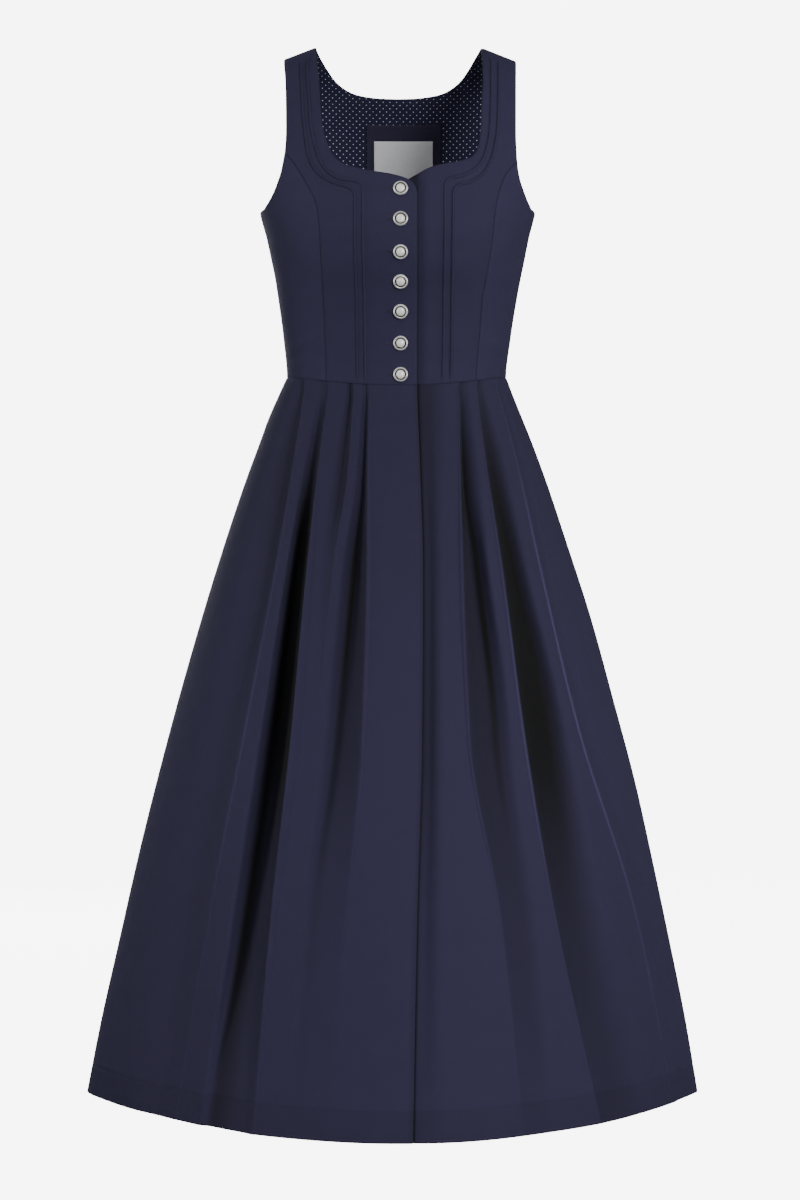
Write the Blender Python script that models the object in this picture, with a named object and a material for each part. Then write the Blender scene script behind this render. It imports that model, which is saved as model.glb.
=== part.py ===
"""A dirndl, filled out as it is worn, with nobody in it: a buttoned bodice with princess seams and
pintucks, and a long skirt that is pleated into the waist seam.

Metres, +Z up. The front faces -Y, and the wearer's right is at -X. The origin is the middle of the
line between the two shoulder seams, where a wearer's shoulders carry the garment.
"""

import math

import bpy
import numpy as np
from mathutils import Matrix, Vector
from mathutils.geometry import delaunay_2d_cdt

# Cloth, with its interlining, as the thickness of a wall
BODICE_WALL = 0.0014
LINING_WALL = 0.0010
PATCH_WALL = 0.0010
SKIRT_WALL = 0.0012
SEAM_GAP = 0.0003

# Heights of the main lines
BUST_LEVEL = -0.220
BLADE_LEVEL = -0.170
UNDERARM_LEVEL = -0.1898
WAIST_LEVEL = -0.3856
WAIST_DIP_FRONT = 0.0150
WAIST_DIP_BACK = 0.0040
HEM_LEVEL = -1.234

# Shoulders: the seam rises a little at the neck and slopes down to the armhole
NECK_POINT = 0.100
SHOULDER_RISE = 0.0082
SHOULDER_TILT = 0.008
SHOULDER_SLOPE = 0.390
FRONT_SHOULDER_ROUND = 1.55
BACK_SHOULDER_ROUND = 1.90

# The bodice's cross-sections. From the bust up, the depths follow the rounding of the shoulder.
TORSO_COLUMNS = ("level", "right", "left", "front", "back", "power")
TORSO = (
    (-0.4200, 0.1405, 0.1317, 0.096, 0.094, 2.20),
    (-0.3856, 0.1345, 0.1262, 0.096, 0.092, 2.20),
    (-0.3390, 0.1384, 0.1315, 0.101, 0.094, 2.25),
    (-0.2920, 0.1447, 0.1389, 0.113, 0.098, 2.30),
    (-0.2680, 0.1483, 0.1434, 0.122, 0.100, 2.30),
    (-0.2440, 0.1532, 0.1484, 0.129, 0.103, 2.30),
    (-0.2200, 0.1584, 0.1532, 0.132, 0.105, 2.30),
    (-0.1900, 0.1664, 0.1607, 0.130, 0.106, 2.30),
    (-0.1500, 0.1725, 0.1675, 0.120, 0.106, 2.30),
    (-0.1100, 0.1750, 0.1705, 0.100, 0.101, 2.30),
    (0.0100, 0.1750, 0.1705, 0.080, 0.090, 2.30),
)

# Edges of the bodice's pieces seen from the front, as (x, z). Where both sides are alike, x is
# the distance from the middle.
ARMHOLE_FRONT_RIGHT = (
    (0.1384, -0.0095),
    (0.1356, -0.0366),
    (0.1341, -0.0700),
    (0.1334, -0.1070),
    (0.1344, -0.1260),
    (0.1387, -0.1495),
    (0.1425, -0.1610),
    (0.1471, -0.1720),
    (0.1530, -0.1818),
    (0.1568, -0.1860),
    (0.1640, -0.1925),
)
ARMHOLE_FRONT_LEFT = (
    (0.1384, -0.0095),
    (0.1373, -0.0366),
    (0.1365, -0.0700),
    (0.1359, -0.1070),
    (0.1366, -0.1310),
    (0.1383, -0.1489),
    (0.1408, -0.1605),
    (0.1448, -0.1712),
    (0.1495, -0.1814),
    (0.1524, -0.1858),
    (0.1590, -0.1930),
)
ARMHOLE_BACK = (
    (0.1384, -0.0100),
    (0.1340, -0.0400),
    (0.1315, -0.0750),
    (0.1305, -0.1050),
    (0.1325, -0.1300),
    (0.1375, -0.1510),
    (0.1440, -0.1680),
    (0.1510, -0.1800),
    (0.1556, -0.1862),
    (0.1605, -0.1925),
)
NECK_RIGHT = (
    (-0.1000, 0.0060),
    (-0.0980, -0.0100),
    (-0.0950, -0.0380),
    (-0.0933, -0.0650),
    (-0.0911, -0.0910),
    (-0.0868, -0.1130),
    (-0.0808, -0.1290),
    (-0.0745, -0.1390),
    (-0.0660, -0.1455),
    (-0.0515, -0.1510),
    (-0.0345, -0.1550),
    (-0.0115, -0.1590),
    (0.0030, -0.1630),
    (0.0125, -0.1675),
    (0.0180, -0.1745),
)
NECK_LEFT = (
    (0.0955, 0.0060),
    (0.0970, -0.0100),
    (0.0973, -0.0380),
    (0.0955, -0.0650),
    (0.0937, -0.1000),
    (0.0912, -0.1215),
    (0.0866, -0.1325),
    (0.0805, -0.1385),
    (0.0690, -0.1425),
    (0.0517, -0.1462),
    (0.0380, -0.1500),
    (0.0285, -0.1540),
    (0.0172, -0.1600),
    (0.0080, -0.1655),
    (-0.0060, -0.1720),
)
NECK_BACK_MIDDLE = -0.0024
NECK_BACK = (
    (0.0930, 0.0018),
    (0.0850, -0.0096),
    (0.0755, -0.0212),
    (0.0640, -0.0296),
    (0.0500, -0.0352),
    (0.0270, -0.0386),
    (0.0000, -0.0396),
)
PRINCESS_RIGHT_TOP = -0.128
PRINCESS_RIGHT = (
    (-0.1216, -0.1450),
    (-0.1120, -0.1615),
    (-0.1037, -0.1765),
    (-0.0970, -0.1920),
    (-0.0935, -0.2150),
    (-0.0918, -0.2450),
    (-0.0895, -0.2900),
    (-0.0880, -0.3300),
    (-0.0868, -0.3650),
)
PRINCESS_LEFT_TOP = -0.137
PRINCESS_LEFT = (
    (0.1225, -0.1565),
    (0.1155, -0.1740),
    (0.1115, -0.1920),
    (0.1090, -0.2120),
    (0.1060, -0.2400),
    (0.1005, -0.2725),
    (0.0955, -0.3010),
    (0.0930, -0.3350),
    (0.0905, -0.3650),
)
PRINCESS_RIGHT_FOOT = -0.0860
PRINCESS_LEFT_FOOT = 0.0885
BACK_SEAM_TOP = -0.112
BACK_SEAM = (
    (0.1150, -0.1290),
    (0.1010, -0.1520),
    (0.0900, -0.1830),
    (0.0820, -0.2250),
    (0.0750, -0.2750),
    (0.0700, -0.3300),
)
BACK_SEAM_FOOT = 0.0680

# The button placket: the right front lies on the left one
PLACKET_EDGE = 0.0200
UNDERLAP_EDGE = -0.0200
LAP_GAP = 0.0012
LAP_BLEND = 0.010

# Pintucks, raised along lines beside the neckline and then straight down
TUCK_HALF_WIDTH = 0.0015
TUCK_HEIGHT = 0.0011
TUCK_TAPER = 0.006
TUCKS_RIGHT = (
    (
        (-0.1172, -0.0120),
        (-0.1155, -0.0400),
        (-0.1130, -0.0770),
        (-0.1090, -0.1150),
        (-0.1040, -0.1400),
        (-0.0930, -0.1580),
        (-0.0770, -0.1690),
        (-0.0600, -0.1750),
        (-0.0530, -0.1810),
        (-0.0518, -0.1920),
        (-0.0518, -0.2360),
        (-0.0500, -0.3030),
        (-0.0492, -0.3940),
    ),
    (
        (-0.1090, -0.0080),
        (-0.1083, -0.0400),
        (-0.1060, -0.0650),
        (-0.1034, -0.0970),
        (-0.0983, -0.1222),
        (-0.0923, -0.1410),
        (-0.0829, -0.1560),
        (-0.0689, -0.1650),
        (-0.0520, -0.1680),
        (-0.0440, -0.1730),
        (-0.0424, -0.1840),
        (-0.0423, -0.2370),
        (-0.0409, -0.3030),
        (-0.0400, -0.3955),
    ),
)
TUCKS_LEFT = (
    (
        (0.1170, -0.0120),
        (0.1160, -0.0400),
        (0.1140, -0.0900),
        (0.1120, -0.1120),
        (0.1070, -0.1350),
        (0.1010, -0.1490),
        (0.0930, -0.1600),
        (0.0800, -0.1680),
        (0.0670, -0.1725),
        (0.0617, -0.1790),
        (0.0610, -0.1900),
        (0.0607, -0.2360),
        (0.0600, -0.3030),
        (0.0591, -0.3935),
    ),
    (
        (0.1080, -0.0080),
        (0.1075, -0.0400),
        (0.1055, -0.0900),
        (0.1030, -0.1150),
        (0.0970, -0.1370),
        (0.0885, -0.1500),
        (0.0745, -0.1600),
        (0.0600, -0.1640),
        (0.0530, -0.1690),
        (0.0517, -0.1800),
        (0.0515, -0.2360),
        (0.0507, -0.3040),
        (0.0498, -0.3945),
    ),
)

# Inside the back, a patch on the lining carries the neck label: sides, top and bottom
PATCH_EDGES = (-0.0415, 0.0500, -0.0680, -0.1600)
LABEL_EDGES = (-0.0320, 0.0405, -0.0870, -0.1420)

# Buttons: a milled rim round a domed centre
BUTTON_X = 0.0006
BUTTON_HEIGHTS = (-0.1775, -0.2130, -0.2500, -0.2825, -0.3160, -0.3520, -0.3880)
BUTTON_RADIUS = 0.0086
BUTTON_SEAT = 0.0004
BUTTON_BASE = 0.0010
BUTTON_RIM_HEIGHT = 0.0034
BUTTON_RIM_INNER = 0.0058
PEARL_RADIUS = 0.0052
PEARL_HEIGHT = 0.0046
RIM_SIDES = 20
PEARL_SIDES = 14

# The skirt's plain bell, before its folds
SKIRT_COLUMNS = ("level", "right", "left", "front", "back", "power", "depth_power")
SKIRT = (
    (-1.2340, 0.3722, 0.3540, 0.3165, 0.3160, 2.00, 1.10),
    (-1.1480, 0.3553, 0.3395, 0.2980, 0.3020, 2.00, 1.17),
    (-1.0530, 0.3339, 0.3204, 0.2800, 0.2850, 2.00, 1.26),
    (-0.9580, 0.3124, 0.3002, 0.2600, 0.2660, 2.00, 1.35),
    (-0.8630, 0.2886, 0.2788, 0.2380, 0.2450, 2.02, 1.44),
    (-0.7680, 0.2636, 0.2537, 0.2140, 0.2210, 2.04, 1.53),
    (-0.6720, 0.2363, 0.2276, 0.1880, 0.1940, 2.07, 1.64),
    (-0.5770, 0.2067, 0.1968, 0.1600, 0.1660, 2.10, 1.78),
    (-0.5060, 0.1827, 0.1729, 0.1370, 0.1410, 2.14, 1.92),
    (-0.4580, 0.1649, 0.1550, 0.1190, 0.1220, 2.17, 2.03),
    (-0.4340, 0.1563, 0.1453, 0.1105, 0.1115, 2.18, 2.10),
    (-0.4106, 0.1459, 0.1357, 0.1020, 0.1005, 2.20, 2.18),
    (-0.3856, 0.1345, 0.1262, 0.0960, 0.0920, 2.20, 2.20),
)

# Folds of the skirt. Each is the edge of a pleat, which faces -X or +X with a hollow on that side,
# into which it falls softly or steeply: at six heights its x, how deep the hollow is, and how far
# from the edge, along the bell, the hollow is lowest and ends.
FOLD_LEVELS = (-1.234, -1.000, -0.800, -0.600, -0.500, -0.400)
SOFT, STEEP = 0.50, 0.26
USUAL_LOW = (0.0190, 0.0145, 0.0100, 0.0055, 0.0040, 0.0025)
OPEN_LOW = (0.0250, 0.0180, 0.0145, 0.0105, 0.0080, 0.0050)
USUAL_REACH = (0.0450, 0.0370, 0.0290, 0.0200, 0.0155, 0.0110)
FRONT_FOLDS = (
    (
        "right_side",
        -1,
        SOFT,
        (-0.2550, -0.2140, -0.1761, -0.1398, -0.1243, -0.1110),
        (0.0020, 0.0040, 0.0060, 0.0080, 0.0080, 0.0040),
        (0.0350, 0.0350, 0.0290, 0.0140, 0.0120, 0.0050),
        (0.0850, 0.0850, 0.0790, 0.0600, 0.0480, 0.0180),
    ),
    (
        "right_deep",
        -1,
        STEEP,
        (-0.1590, -0.1405, -0.1197, -0.1035, -0.0945, -0.0832),
        (0.0080, 0.0320, 0.0440, 0.0300, 0.0130, 0.0045),
        (0.0600, 0.0360, 0.0262, 0.0172, 0.0105, 0.0060),
        (0.0880, 0.0600, 0.0465, 0.0298, 0.0230, 0.0145),
    ),
    (
        "right_short",
        -1,
        SOFT,
        (-0.1445, -0.1175, -0.0935, -0.0750, -0.0600, -0.0533),
        (0.0000, 0.0000, 0.0000, 0.0030, 0.0060, 0.0050),
        (0.0008, 0.0010, 0.0015, 0.0070, 0.0085, 0.0046),
        (0.0020, 0.0025, 0.0035, 0.0175, 0.0215, 0.0110),
    ),
    (
        "right_inner",
        -1,
        SOFT,
        (-0.0800, -0.0597, -0.0416, -0.0367, -0.0364, -0.0350),
        (0.0000, 0.0040, 0.0120, 0.0190, 0.0120, 0.0050),
        (0.0380, 0.0365, 0.0281, 0.0155, 0.0062, 0.0046),
        (0.0560, 0.0545, 0.0475, 0.0325, 0.0170, 0.0100),
    ),
    (
        "left_inner",
        1,
        SOFT,
        (0.1350, 0.1104, 0.0761, 0.0696, 0.0686, 0.0672),
        (0.0000, 0.0040, 0.0110, 0.0180, 0.0120, 0.0050),
        (0.0280, 0.0286, 0.0325, 0.0185, 0.0050, 0.0030),
        (0.0530, 0.0530, 0.0575, 0.0345, 0.0265, 0.0150),
    ),
    (
        "left_outer",
        1,
        STEEP,
        (0.2230, 0.1733, 0.1387, 0.1139, 0.1002, 0.0889),
        (0.0010, 0.0120, 0.0200, 0.0170, 0.0100, 0.0040),
        (0.0330, 0.0299, 0.0360, 0.0152, 0.0095, 0.0040),
        (0.1000, 0.0900, 0.0760, 0.0420, 0.0340, 0.0140),
    ),
    (
        "left_side",
        1,
        SOFT,
        (0.3180, 0.2686, 0.2058, 0.1591, 0.1380, 0.1135),
        (0.0030, 0.0040, 0.0060, 0.0070, 0.0060, 0.0030),
        (0.0220, 0.0220, 0.0095, 0.0057, 0.0060, 0.0050),
        (0.0600, 0.0540, 0.0400, 0.0241, 0.0240, 0.0150),
    ),
)
BACK_FOLDS = (
    (
        "right_side",
        -1,
        SOFT,
        (-0.3000, -0.2520, -0.2030, -0.1540, -0.1320, -0.1100),
        (0.0020, 0.0080, 0.0130, 0.0120, 0.0100, 0.0060),
        USUAL_LOW,
        USUAL_REACH,
    ),
    (
        "right_outer",
        -1,
        STEEP,
        (-0.2050, -0.1700, -0.1380, -0.1080, -0.0945, -0.0810),
        (0.0100, 0.0220, 0.0300, 0.0220, 0.0140, 0.0060),
        OPEN_LOW,
        USUAL_REACH,
    ),
    (
        "right_inner",
        -1,
        SOFT,
        (-0.0900, -0.0750, -0.0620, -0.0520, -0.0480, -0.0440),
        (0.0040, 0.0100, 0.0170, 0.0150, 0.0110, 0.0060),
        USUAL_LOW,
        USUAL_REACH,
    ),
    (
        "left_inner",
        1,
        SOFT,
        (0.1000, 0.0840, 0.0680, 0.0560, 0.0505, 0.0450),
        (0.0050, 0.0130, 0.0200, 0.0160, 0.0110, 0.0060),
        USUAL_LOW,
        USUAL_REACH,
    ),
    (
        "left_outer",
        1,
        STEEP,
        (0.1900, 0.1600, 0.1300, 0.1020, 0.0900, 0.0780),
        (0.0090, 0.0240, 0.0320, 0.0210, 0.0140, 0.0060),
        OPEN_LOW,
        USUAL_REACH,
    ),
    (
        "left_side",
        1,
        SOFT,
        (0.2900, 0.2430, 0.1960, 0.1490, 0.1275, 0.1060),
        (0.0030, 0.0090, 0.0140, 0.0120, 0.0100, 0.0060),
        USUAL_LOW,
        USUAL_REACH,
    ),
)
FOLD_STEPS = (-1.0, -0.45, 0.0, 0.16, 0.32, 0.50, 0.62, 0.74, 0.87, 1.0)
RIDGE_SHARE = 0.10
RIDGE_REACH = 0.45
HOLLOW_MIDDLE = 0.5
EDGE_RISE = 0.22
EDGE_RISE_LEAST = 0.0015

# The opening edge of the skirt's front, where the right side laps over the left
LAP_EDGE = (0.0140, 0.0186, 0.0244, 0.0260, 0.0235, 0.0200)
SKIRT_UNDERLAP = 0.016
LAP_STEP = 0.001

# Beside that edge the left side sinks into a soft hollow and rises again: how far this reaches,
# and its offsets, at the folds' heights
LAP_REACH = (0.040, 0.034, 0.0285, 0.0265, 0.030, 0.034)
LAP_HOLLOW_AT = 0.26
LAP_RIDGE_AT = 0.68
LAP_HOLLOW = (-0.0008, -0.0036, -0.0046, -0.0034, -0.0024, -0.0010)
LAP_RIDGE = (0.0, 0.0010, 0.0018, 0.0012, 0.0006, 0.0)

# Columns between two folds, and rows of the skirt, as shares of the way from the waist to the hem
GAP_COLUMNS = 2
SKIRT_ROWS = (0.0, 0.02, 0.07, 0.15, 0.26, 0.39, 0.54, 0.70, 0.85, 0.96, 1.0)

# Meshing: triangles inside a panel, points along seams and armholes, and how clear of an edge or
# a line the inner points stay, as shares of the spacing
PANEL_SPACING = 0.019
PATH_SPACING = 0.014
ARMHOLE_SPACING = 0.010
CLEAR_OF_EDGE = 0.55
CLEAR_OF_LINE = 0.5

# Steps of the tables that the shapes are read from
PROFILE_STEPS = 600
PROFILE_END = -0.44
CHART_STEP = 2e-4
RING_STEPS = 1440

CLOTH_COLOUR = (0.027, 0.028, 0.060, 1.0)
LINING_COLOUR = (0.016, 0.018, 0.045, 1.0)
LABEL_COLOUR = (0.45, 0.47, 0.50, 1.0)
SILVER_COLOUR = (0.62, 0.61, 0.59, 1.0)
PEARL_COLOUR = (0.80, 0.76, 0.68, 1.0)


def clear_scene():
    for old in list(bpy.data.objects):
        bpy.data.objects.remove(old)


def material(name, colour, roughness, metallic=0.0):
    made = bpy.data.materials.new(name)
    made.use_nodes = True
    shader = made.node_tree.nodes["Principled BSDF"]
    shader.inputs["Base Color"].default_value = colour
    shader.inputs["Roughness"].default_value = roughness
    shader.inputs["Metallic"].default_value = metallic
    return made


def curve(places, values, where):
    """The values of a smooth curve through (places, values) that doesn't overshoot."""
    places = np.asarray(places, float)
    values = np.asarray(values, float)
    steps = np.diff(places)
    slopes = np.diff(values) / steps
    turns = np.zeros(len(places))
    turns[0], turns[-1] = slopes[0], slopes[-1]
    for i in range(1, len(places) - 1):
        if slopes[i - 1] * slopes[i] > 0:
            before = 2 * steps[i] + steps[i - 1]
            after = steps[i] + 2 * steps[i - 1]
            turns[i] = (before + after) / (before / slopes[i - 1] + after / slopes[i])
    where = np.clip(where, places[0], places[-1])
    i = np.clip(np.searchsorted(places, where, side="right") - 1, 0, len(steps) - 1)
    t = (where - places[i]) / steps[i]
    return (
        (2 * t**3 - 3 * t**2 + 1) * values[i]
        + (t**3 - 2 * t**2 + t) * steps[i] * turns[i]
        + (3 * t**2 - 2 * t**3) * values[i + 1]
        + (t**3 - t**2) * steps[i] * turns[i + 1]
    )


def column(table, names, name, where):
    rows = sorted(table)
    at = names.index(name)
    return curve([row[0] for row in rows], [row[at] for row in rows], where)


def smoothstep(low, high, value):
    t = np.clip((np.asarray(value, float) - low) / (high - low), 0, 1)
    return t * t * (3 - 2 * t)


def torso_depth(level, side):
    """Depth of the bodice in front of (side -1) or behind (side 1) the side seams."""
    name, middle, roundness = (
        ("front", BUST_LEVEL, FRONT_SHOULDER_ROUND)
        if side < 0
        else ("back", BLADE_LEVEL, BACK_SHOULDER_ROUND)
    )
    below = column(TORSO, TORSO_COLUMNS, name, np.minimum(level, middle))
    rise = np.clip((np.asarray(level, float) - middle) / -middle, 0, 1)
    return below * (1 - rise**roundness) ** (1 / roundness)


def torso_half(level, x):
    right = column(TORSO, TORSO_COLUMNS, "right", level)
    left = column(TORSO, TORSO_COLUMNS, "left", level)
    return np.where(np.asarray(x) < 0, right, left)


def shoulder_lift(x, level):
    """How far the shoulder's slope lifts a point above its level."""
    fade = smoothstep(UNDERARM_LEVEL, 0.0, level)
    beyond = np.maximum(np.abs(x) - NECK_POINT, 0)
    return fade * (SHOULDER_RISE - SHOULDER_TILT * np.asarray(x) - SHOULDER_SLOPE * beyond)


def level_of(x, z):
    level = np.asarray(z, float)
    for _ in range(12):
        level = np.minimum(z - shoulder_lift(x, level), 0)
    return level


def torso_by_x(x, level, side):
    """Points of the bodice's outer surface, by distance from the middle."""
    power = column(TORSO, TORSO_COLUMNS, "power", level)
    share = np.clip(np.abs(x) / torso_half(level, x), 0, 1)
    y = side * torso_depth(level, side) * (1 - share**power) ** (1 / power)
    return np.stack([x, y, level + shoulder_lift(x, level)], -1)


def torso_by_angle(angle, level):
    """The same surface by direction: 0 is the front, a quarter turn the wearer's left side."""
    power = column(TORSO, TORSO_COLUMNS, "power", level)
    sine, cosine = np.sin(angle), np.cos(angle)
    depth = np.where(cosine > 0, torso_depth(level, -1), torso_depth(level, 1))
    across = np.abs(sine) / torso_half(level, sine)
    along = np.abs(cosine) / np.maximum(depth, 1e-6)
    reach = (across**power + along**power) ** (-1 / power)
    x = reach * sine
    return np.stack([x, -reach * cosine, level + shoulder_lift(x, level)], -1)


def waist_height(x, side):
    """The waist seam dips towards the middle of the front, and a little at the back."""
    half = torso_half(WAIST_LEVEL, x)
    dip = WAIST_DIP_FRONT if side < 0 else WAIST_DIP_BACK
    return WAIST_LEVEL - dip * np.clip(1 - (x / half) ** 2, 0, 1)


# The charts are flat maps of the surface. Up a chart is the way along the front's profile.
PROFILE_LEVELS = PROFILE_END * np.linspace(0, 1, PROFILE_STEPS) ** 2
PROFILE_POINTS = torso_by_x(np.zeros(PROFILE_STEPS), PROFILE_LEVELS, -1)
PROFILE_LENGTHS = np.linalg.norm(np.diff(PROFILE_POINTS, axis=0), axis=1)
PROFILE_UP = -np.concatenate([[0], np.cumsum(PROFILE_LENGTHS)])
ROUND_RADIUS = 0.130


def up_of(level):
    return np.interp(level, PROFILE_LEVELS[::-1], PROFILE_UP[::-1])


def level_at(up):
    return np.interp(up, PROFILE_UP[::-1], PROFILE_LEVELS[::-1])


def with_normals(place, chart, outward):
    """Points of a chart, and the directions out of the cloth there."""
    across = place(chart + (CHART_STEP, 0)) - place(chart - (CHART_STEP, 0))
    up = place(chart + (0, CHART_STEP)) - place(chart - (0, CHART_STEP))
    normals = outward * np.cross(across, up)
    normals /= np.linalg.norm(normals, axis=-1, keepdims=True)
    return place(chart), normals


def flat_chart(side):
    def place(chart):
        return torso_by_x(chart[..., 0], level_at(chart[..., 1]), side)

    return lambda chart: with_normals(place, chart, -side)


def round_chart():
    def place(chart):
        return torso_by_angle(chart[..., 0] / ROUND_RADIUS, level_at(chart[..., 1]))

    return lambda chart: with_normals(place, chart, 1)


def to_flat(points):
    points = np.asarray(points, float)
    return np.stack([points[:, 0], up_of(level_of(points[:, 0], points[:, 1]))], -1)


def to_round(points, side):
    """Front-view points of the front (side -1) or back (side 1) on the round chart."""
    points = np.asarray(points, float)
    level = level_of(points[:, 0], points[:, 1])
    place = torso_by_x(points[:, 0], level, side)
    angle = np.arctan2(place[:, 0], -place[:, 1])
    if side > 0:
        angle = np.where(angle < 0, angle + 2 * math.pi, angle)
    return np.stack([angle * ROUND_RADIUS, up_of(level)], -1)


def smooth_path(points, spacing=PATH_SPACING):
    """Points evenly along a smooth curve through the given ones."""
    points = np.asarray(points, float)
    ends = np.concatenate([[2 * points[0] - points[1]], points, [2 * points[-1] - points[-2]]])
    fine = []
    for a, b, c, d in zip(ends, ends[1:], ends[2:], ends[3:]):
        for t in np.linspace(0, 1, 12, endpoint=False):
            fine.append(
                0.5
                * (
                    2 * b
                    + (c - a) * t
                    + (2 * a - 5 * b + 4 * c - d) * t**2
                    + (3 * b - a - 3 * c + d) * t**3
                )
            )
    fine = np.array(fine + [points[-1]])
    along = np.concatenate([[0], np.cumsum(np.linalg.norm(np.diff(fine, axis=0), axis=1))])
    count = max(int(round(along[-1] / spacing)), 1)
    even = np.linspace(0, along[-1], count + 1)
    return np.stack([np.interp(even, along, fine[:, 0]), np.interp(even, along, fine[:, 1])], -1)


def joined(*paths):
    """One closed outline from paths that meet end to end."""
    return np.concatenate([path[:-1] for path in paths])


def armhole(rows, sign, top, bottom):
    """The stretch of an armhole between two heights, from the upper one down."""
    rows = sorted(rows, key=lambda row: row[1])
    heights = [row[1] for row in rows]
    at = lambda z: (sign * float(curve(heights, [row[0] for row in rows], z)), z)
    inner = [(sign * x, z) for x, z in rows[::-1] if bottom + 0.003 < z < top - 0.003]
    return [at(top)] + inner + ([at(bottom)] if bottom > heights[0] - 1e-6 else [])


def inset(outline, distance):
    """An outline moved inwards, by a distance for all of it or one for each point."""
    before = outline - np.roll(outline, 1, axis=0)
    after = np.roll(outline, -1, axis=0) - outline
    before /= np.linalg.norm(before, axis=1, keepdims=True)
    after /= np.linalg.norm(after, axis=1, keepdims=True)
    inward_before = np.stack([-before[:, 1], before[:, 0]], -1)
    inward_after = np.stack([-after[:, 1], after[:, 0]], -1)
    inward = inward_before + inward_after
    inward /= np.maximum((inward * inward_before).sum(-1, keepdims=True), 0.35)
    x, y = outline.T
    area = (x * np.roll(y, -1) - np.roll(x, -1) * y).sum()
    return outline + math.copysign(1, area) * distance * inward


def inside(points, outline):
    x, y = points[:, 0][:, None], points[:, 1][:, None]
    ax, ay = outline.T
    bx, by = np.roll(outline, -1, axis=0).T
    crosses = (ay > y) != (by > y)
    with np.errstate(divide="ignore", invalid="ignore"):
        at = ax + (y - ay) / (by - ay) * (bx - ax)
    return (crosses & (x < at)).sum(axis=1) % 2 == 1


def distance_to(points, path, closed=False):
    ends = np.roll(path, -1, axis=0) if closed else path[1:]
    starts = path if closed else path[:-1]
    along = ends - starts
    t = ((points[:, None] - starts) * along).sum(-1) / (along**2).sum(-1)
    nearest = starts + np.clip(t, 0, 1)[..., None] * along
    return np.linalg.norm(points[:, None] - nearest, axis=-1).min(axis=1)


def beside(path, distance):
    along = np.gradient(path, axis=0)
    along /= np.linalg.norm(along, axis=1, keepdims=True)
    return path + distance * np.stack([-along[:, 1], along[:, 0]], -1)


def filled(outline, lines, spacing=PANEL_SPACING):
    """A flat triangle mesh inside an outline, with edges along the lines."""
    low, high = outline.min(axis=0), outline.max(axis=0)
    rows = np.arange(low[1], high[1], spacing * math.sqrt(3) / 2)
    grid = np.array(
        [
            (x, y)
            for i, y in enumerate(rows)
            for x in np.arange(low[0] + spacing * (i % 2) / 2, high[0], spacing)
        ]
    )
    keep = inside(grid, outline) & (distance_to(grid, outline, True) > CLEAR_OF_EDGE * spacing)
    for line in lines:
        keep &= distance_to(grid, line) > CLEAR_OF_LINE * spacing
    points = [outline] + list(lines) + [grid[keep]]
    edges = []
    start = len(outline)
    for line in lines:
        edges += [(start + i, start + i + 1) for i in range(len(line) - 1)]
        start += len(line)
    flat = [Vector(point * 1000) for point in np.concatenate(points)]
    ring = [list(range(len(outline)))]
    found, _, faces, _, _, _ = delaunay_2d_cdt(flat, edges, ring, 1, 1e-5)
    return np.array([tuple(point) for point in found]) / 1000, [tuple(face) for face in faces]


def mesh_object(name, points, faces, look):
    mesh = bpy.data.meshes.new(name)
    mesh.from_pydata([tuple(point) for point in points], [], faces)
    mesh.materials.append(look)
    mesh.shade_smooth()
    mesh.set_sharp_from_angle(angle=math.radians(40))
    made = bpy.data.objects.new(name, mesh)
    bpy.context.scene.collection.objects.link(made)
    return made


def wall(name, chart, faces, surface, raise_by, depth, thickness, look):
    """A wall of cloth. Its outer side lies `depth` under the surface and is raised by a relief,
    and its inner side is plain."""
    points, normals = surface(chart)
    a, b, c = points[list(faces[0])]
    if np.dot(np.cross(b - a, c - a), normals[faces[0][0]]) < 0:
        faces = [face[::-1] for face in faces]
    outer = points + normals * (raise_by - depth)[:, None]
    inner = points - normals * (depth + thickness)[:, None]
    count = len(points)
    under = [tuple(i + count for i in face[::-1]) for face in faces]
    ways = {(face[i], face[(i + 1) % 3]) for face in faces for i in range(3)}
    rim = [(b, a, a + count, b + count) for a, b in sorted(ways) if (b, a) not in ways]
    return mesh_object(name, np.concatenate([outer, inner]), faces + under + rim, look)


def relief(chart, tucks):
    """How high the pintucks stand at each point."""
    height = np.zeros(len(chart))
    for tuck in tucks:
        share = np.clip(1 - distance_to(chart, tuck) / TUCK_HALF_WIDTH, 0, 1)
        from_ends = np.minimum(
            np.linalg.norm(chart - tuck[0], axis=1), np.linalg.norm(chart - tuck[-1], axis=1)
        )
        height = np.maximum(height, TUCK_HEIGHT * share * np.clip(from_ends / TUCK_TAPER, 0, 1))
    return height


def panel(name, outline, surface, look, tucks=(), depth=None, thickness=BODICE_WALL):
    outline = inset(outline, SEAM_GAP / 2)
    lines = [
        beside(tuck, side * TUCK_HALF_WIDTH) for tuck in tucks for side in (-1, 0, 1)
    ]
    chart, faces = filled(outline, lines)
    under = depth(chart) if depth else np.zeros(len(chart))
    return wall(name, chart, faces, surface, relief(chart, tucks), under, thickness, look)


def waist_path(start, end, side):
    count = max(int(round(abs(end - start) / PATH_SPACING)), 1)
    xs = np.linspace(start, end, count + 1)
    return np.stack([xs, waist_height(xs, side)], -1)


def shoulder_path(start, end):
    count = 4
    xs = np.linspace(start, end, count + 1)
    return np.stack([xs, shoulder_lift(xs, 0.0)], -1)


def front_armhole(sign):
    return ARMHOLE_FRONT_RIGHT if sign < 0 else ARMHOLE_FRONT_LEFT


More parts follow.
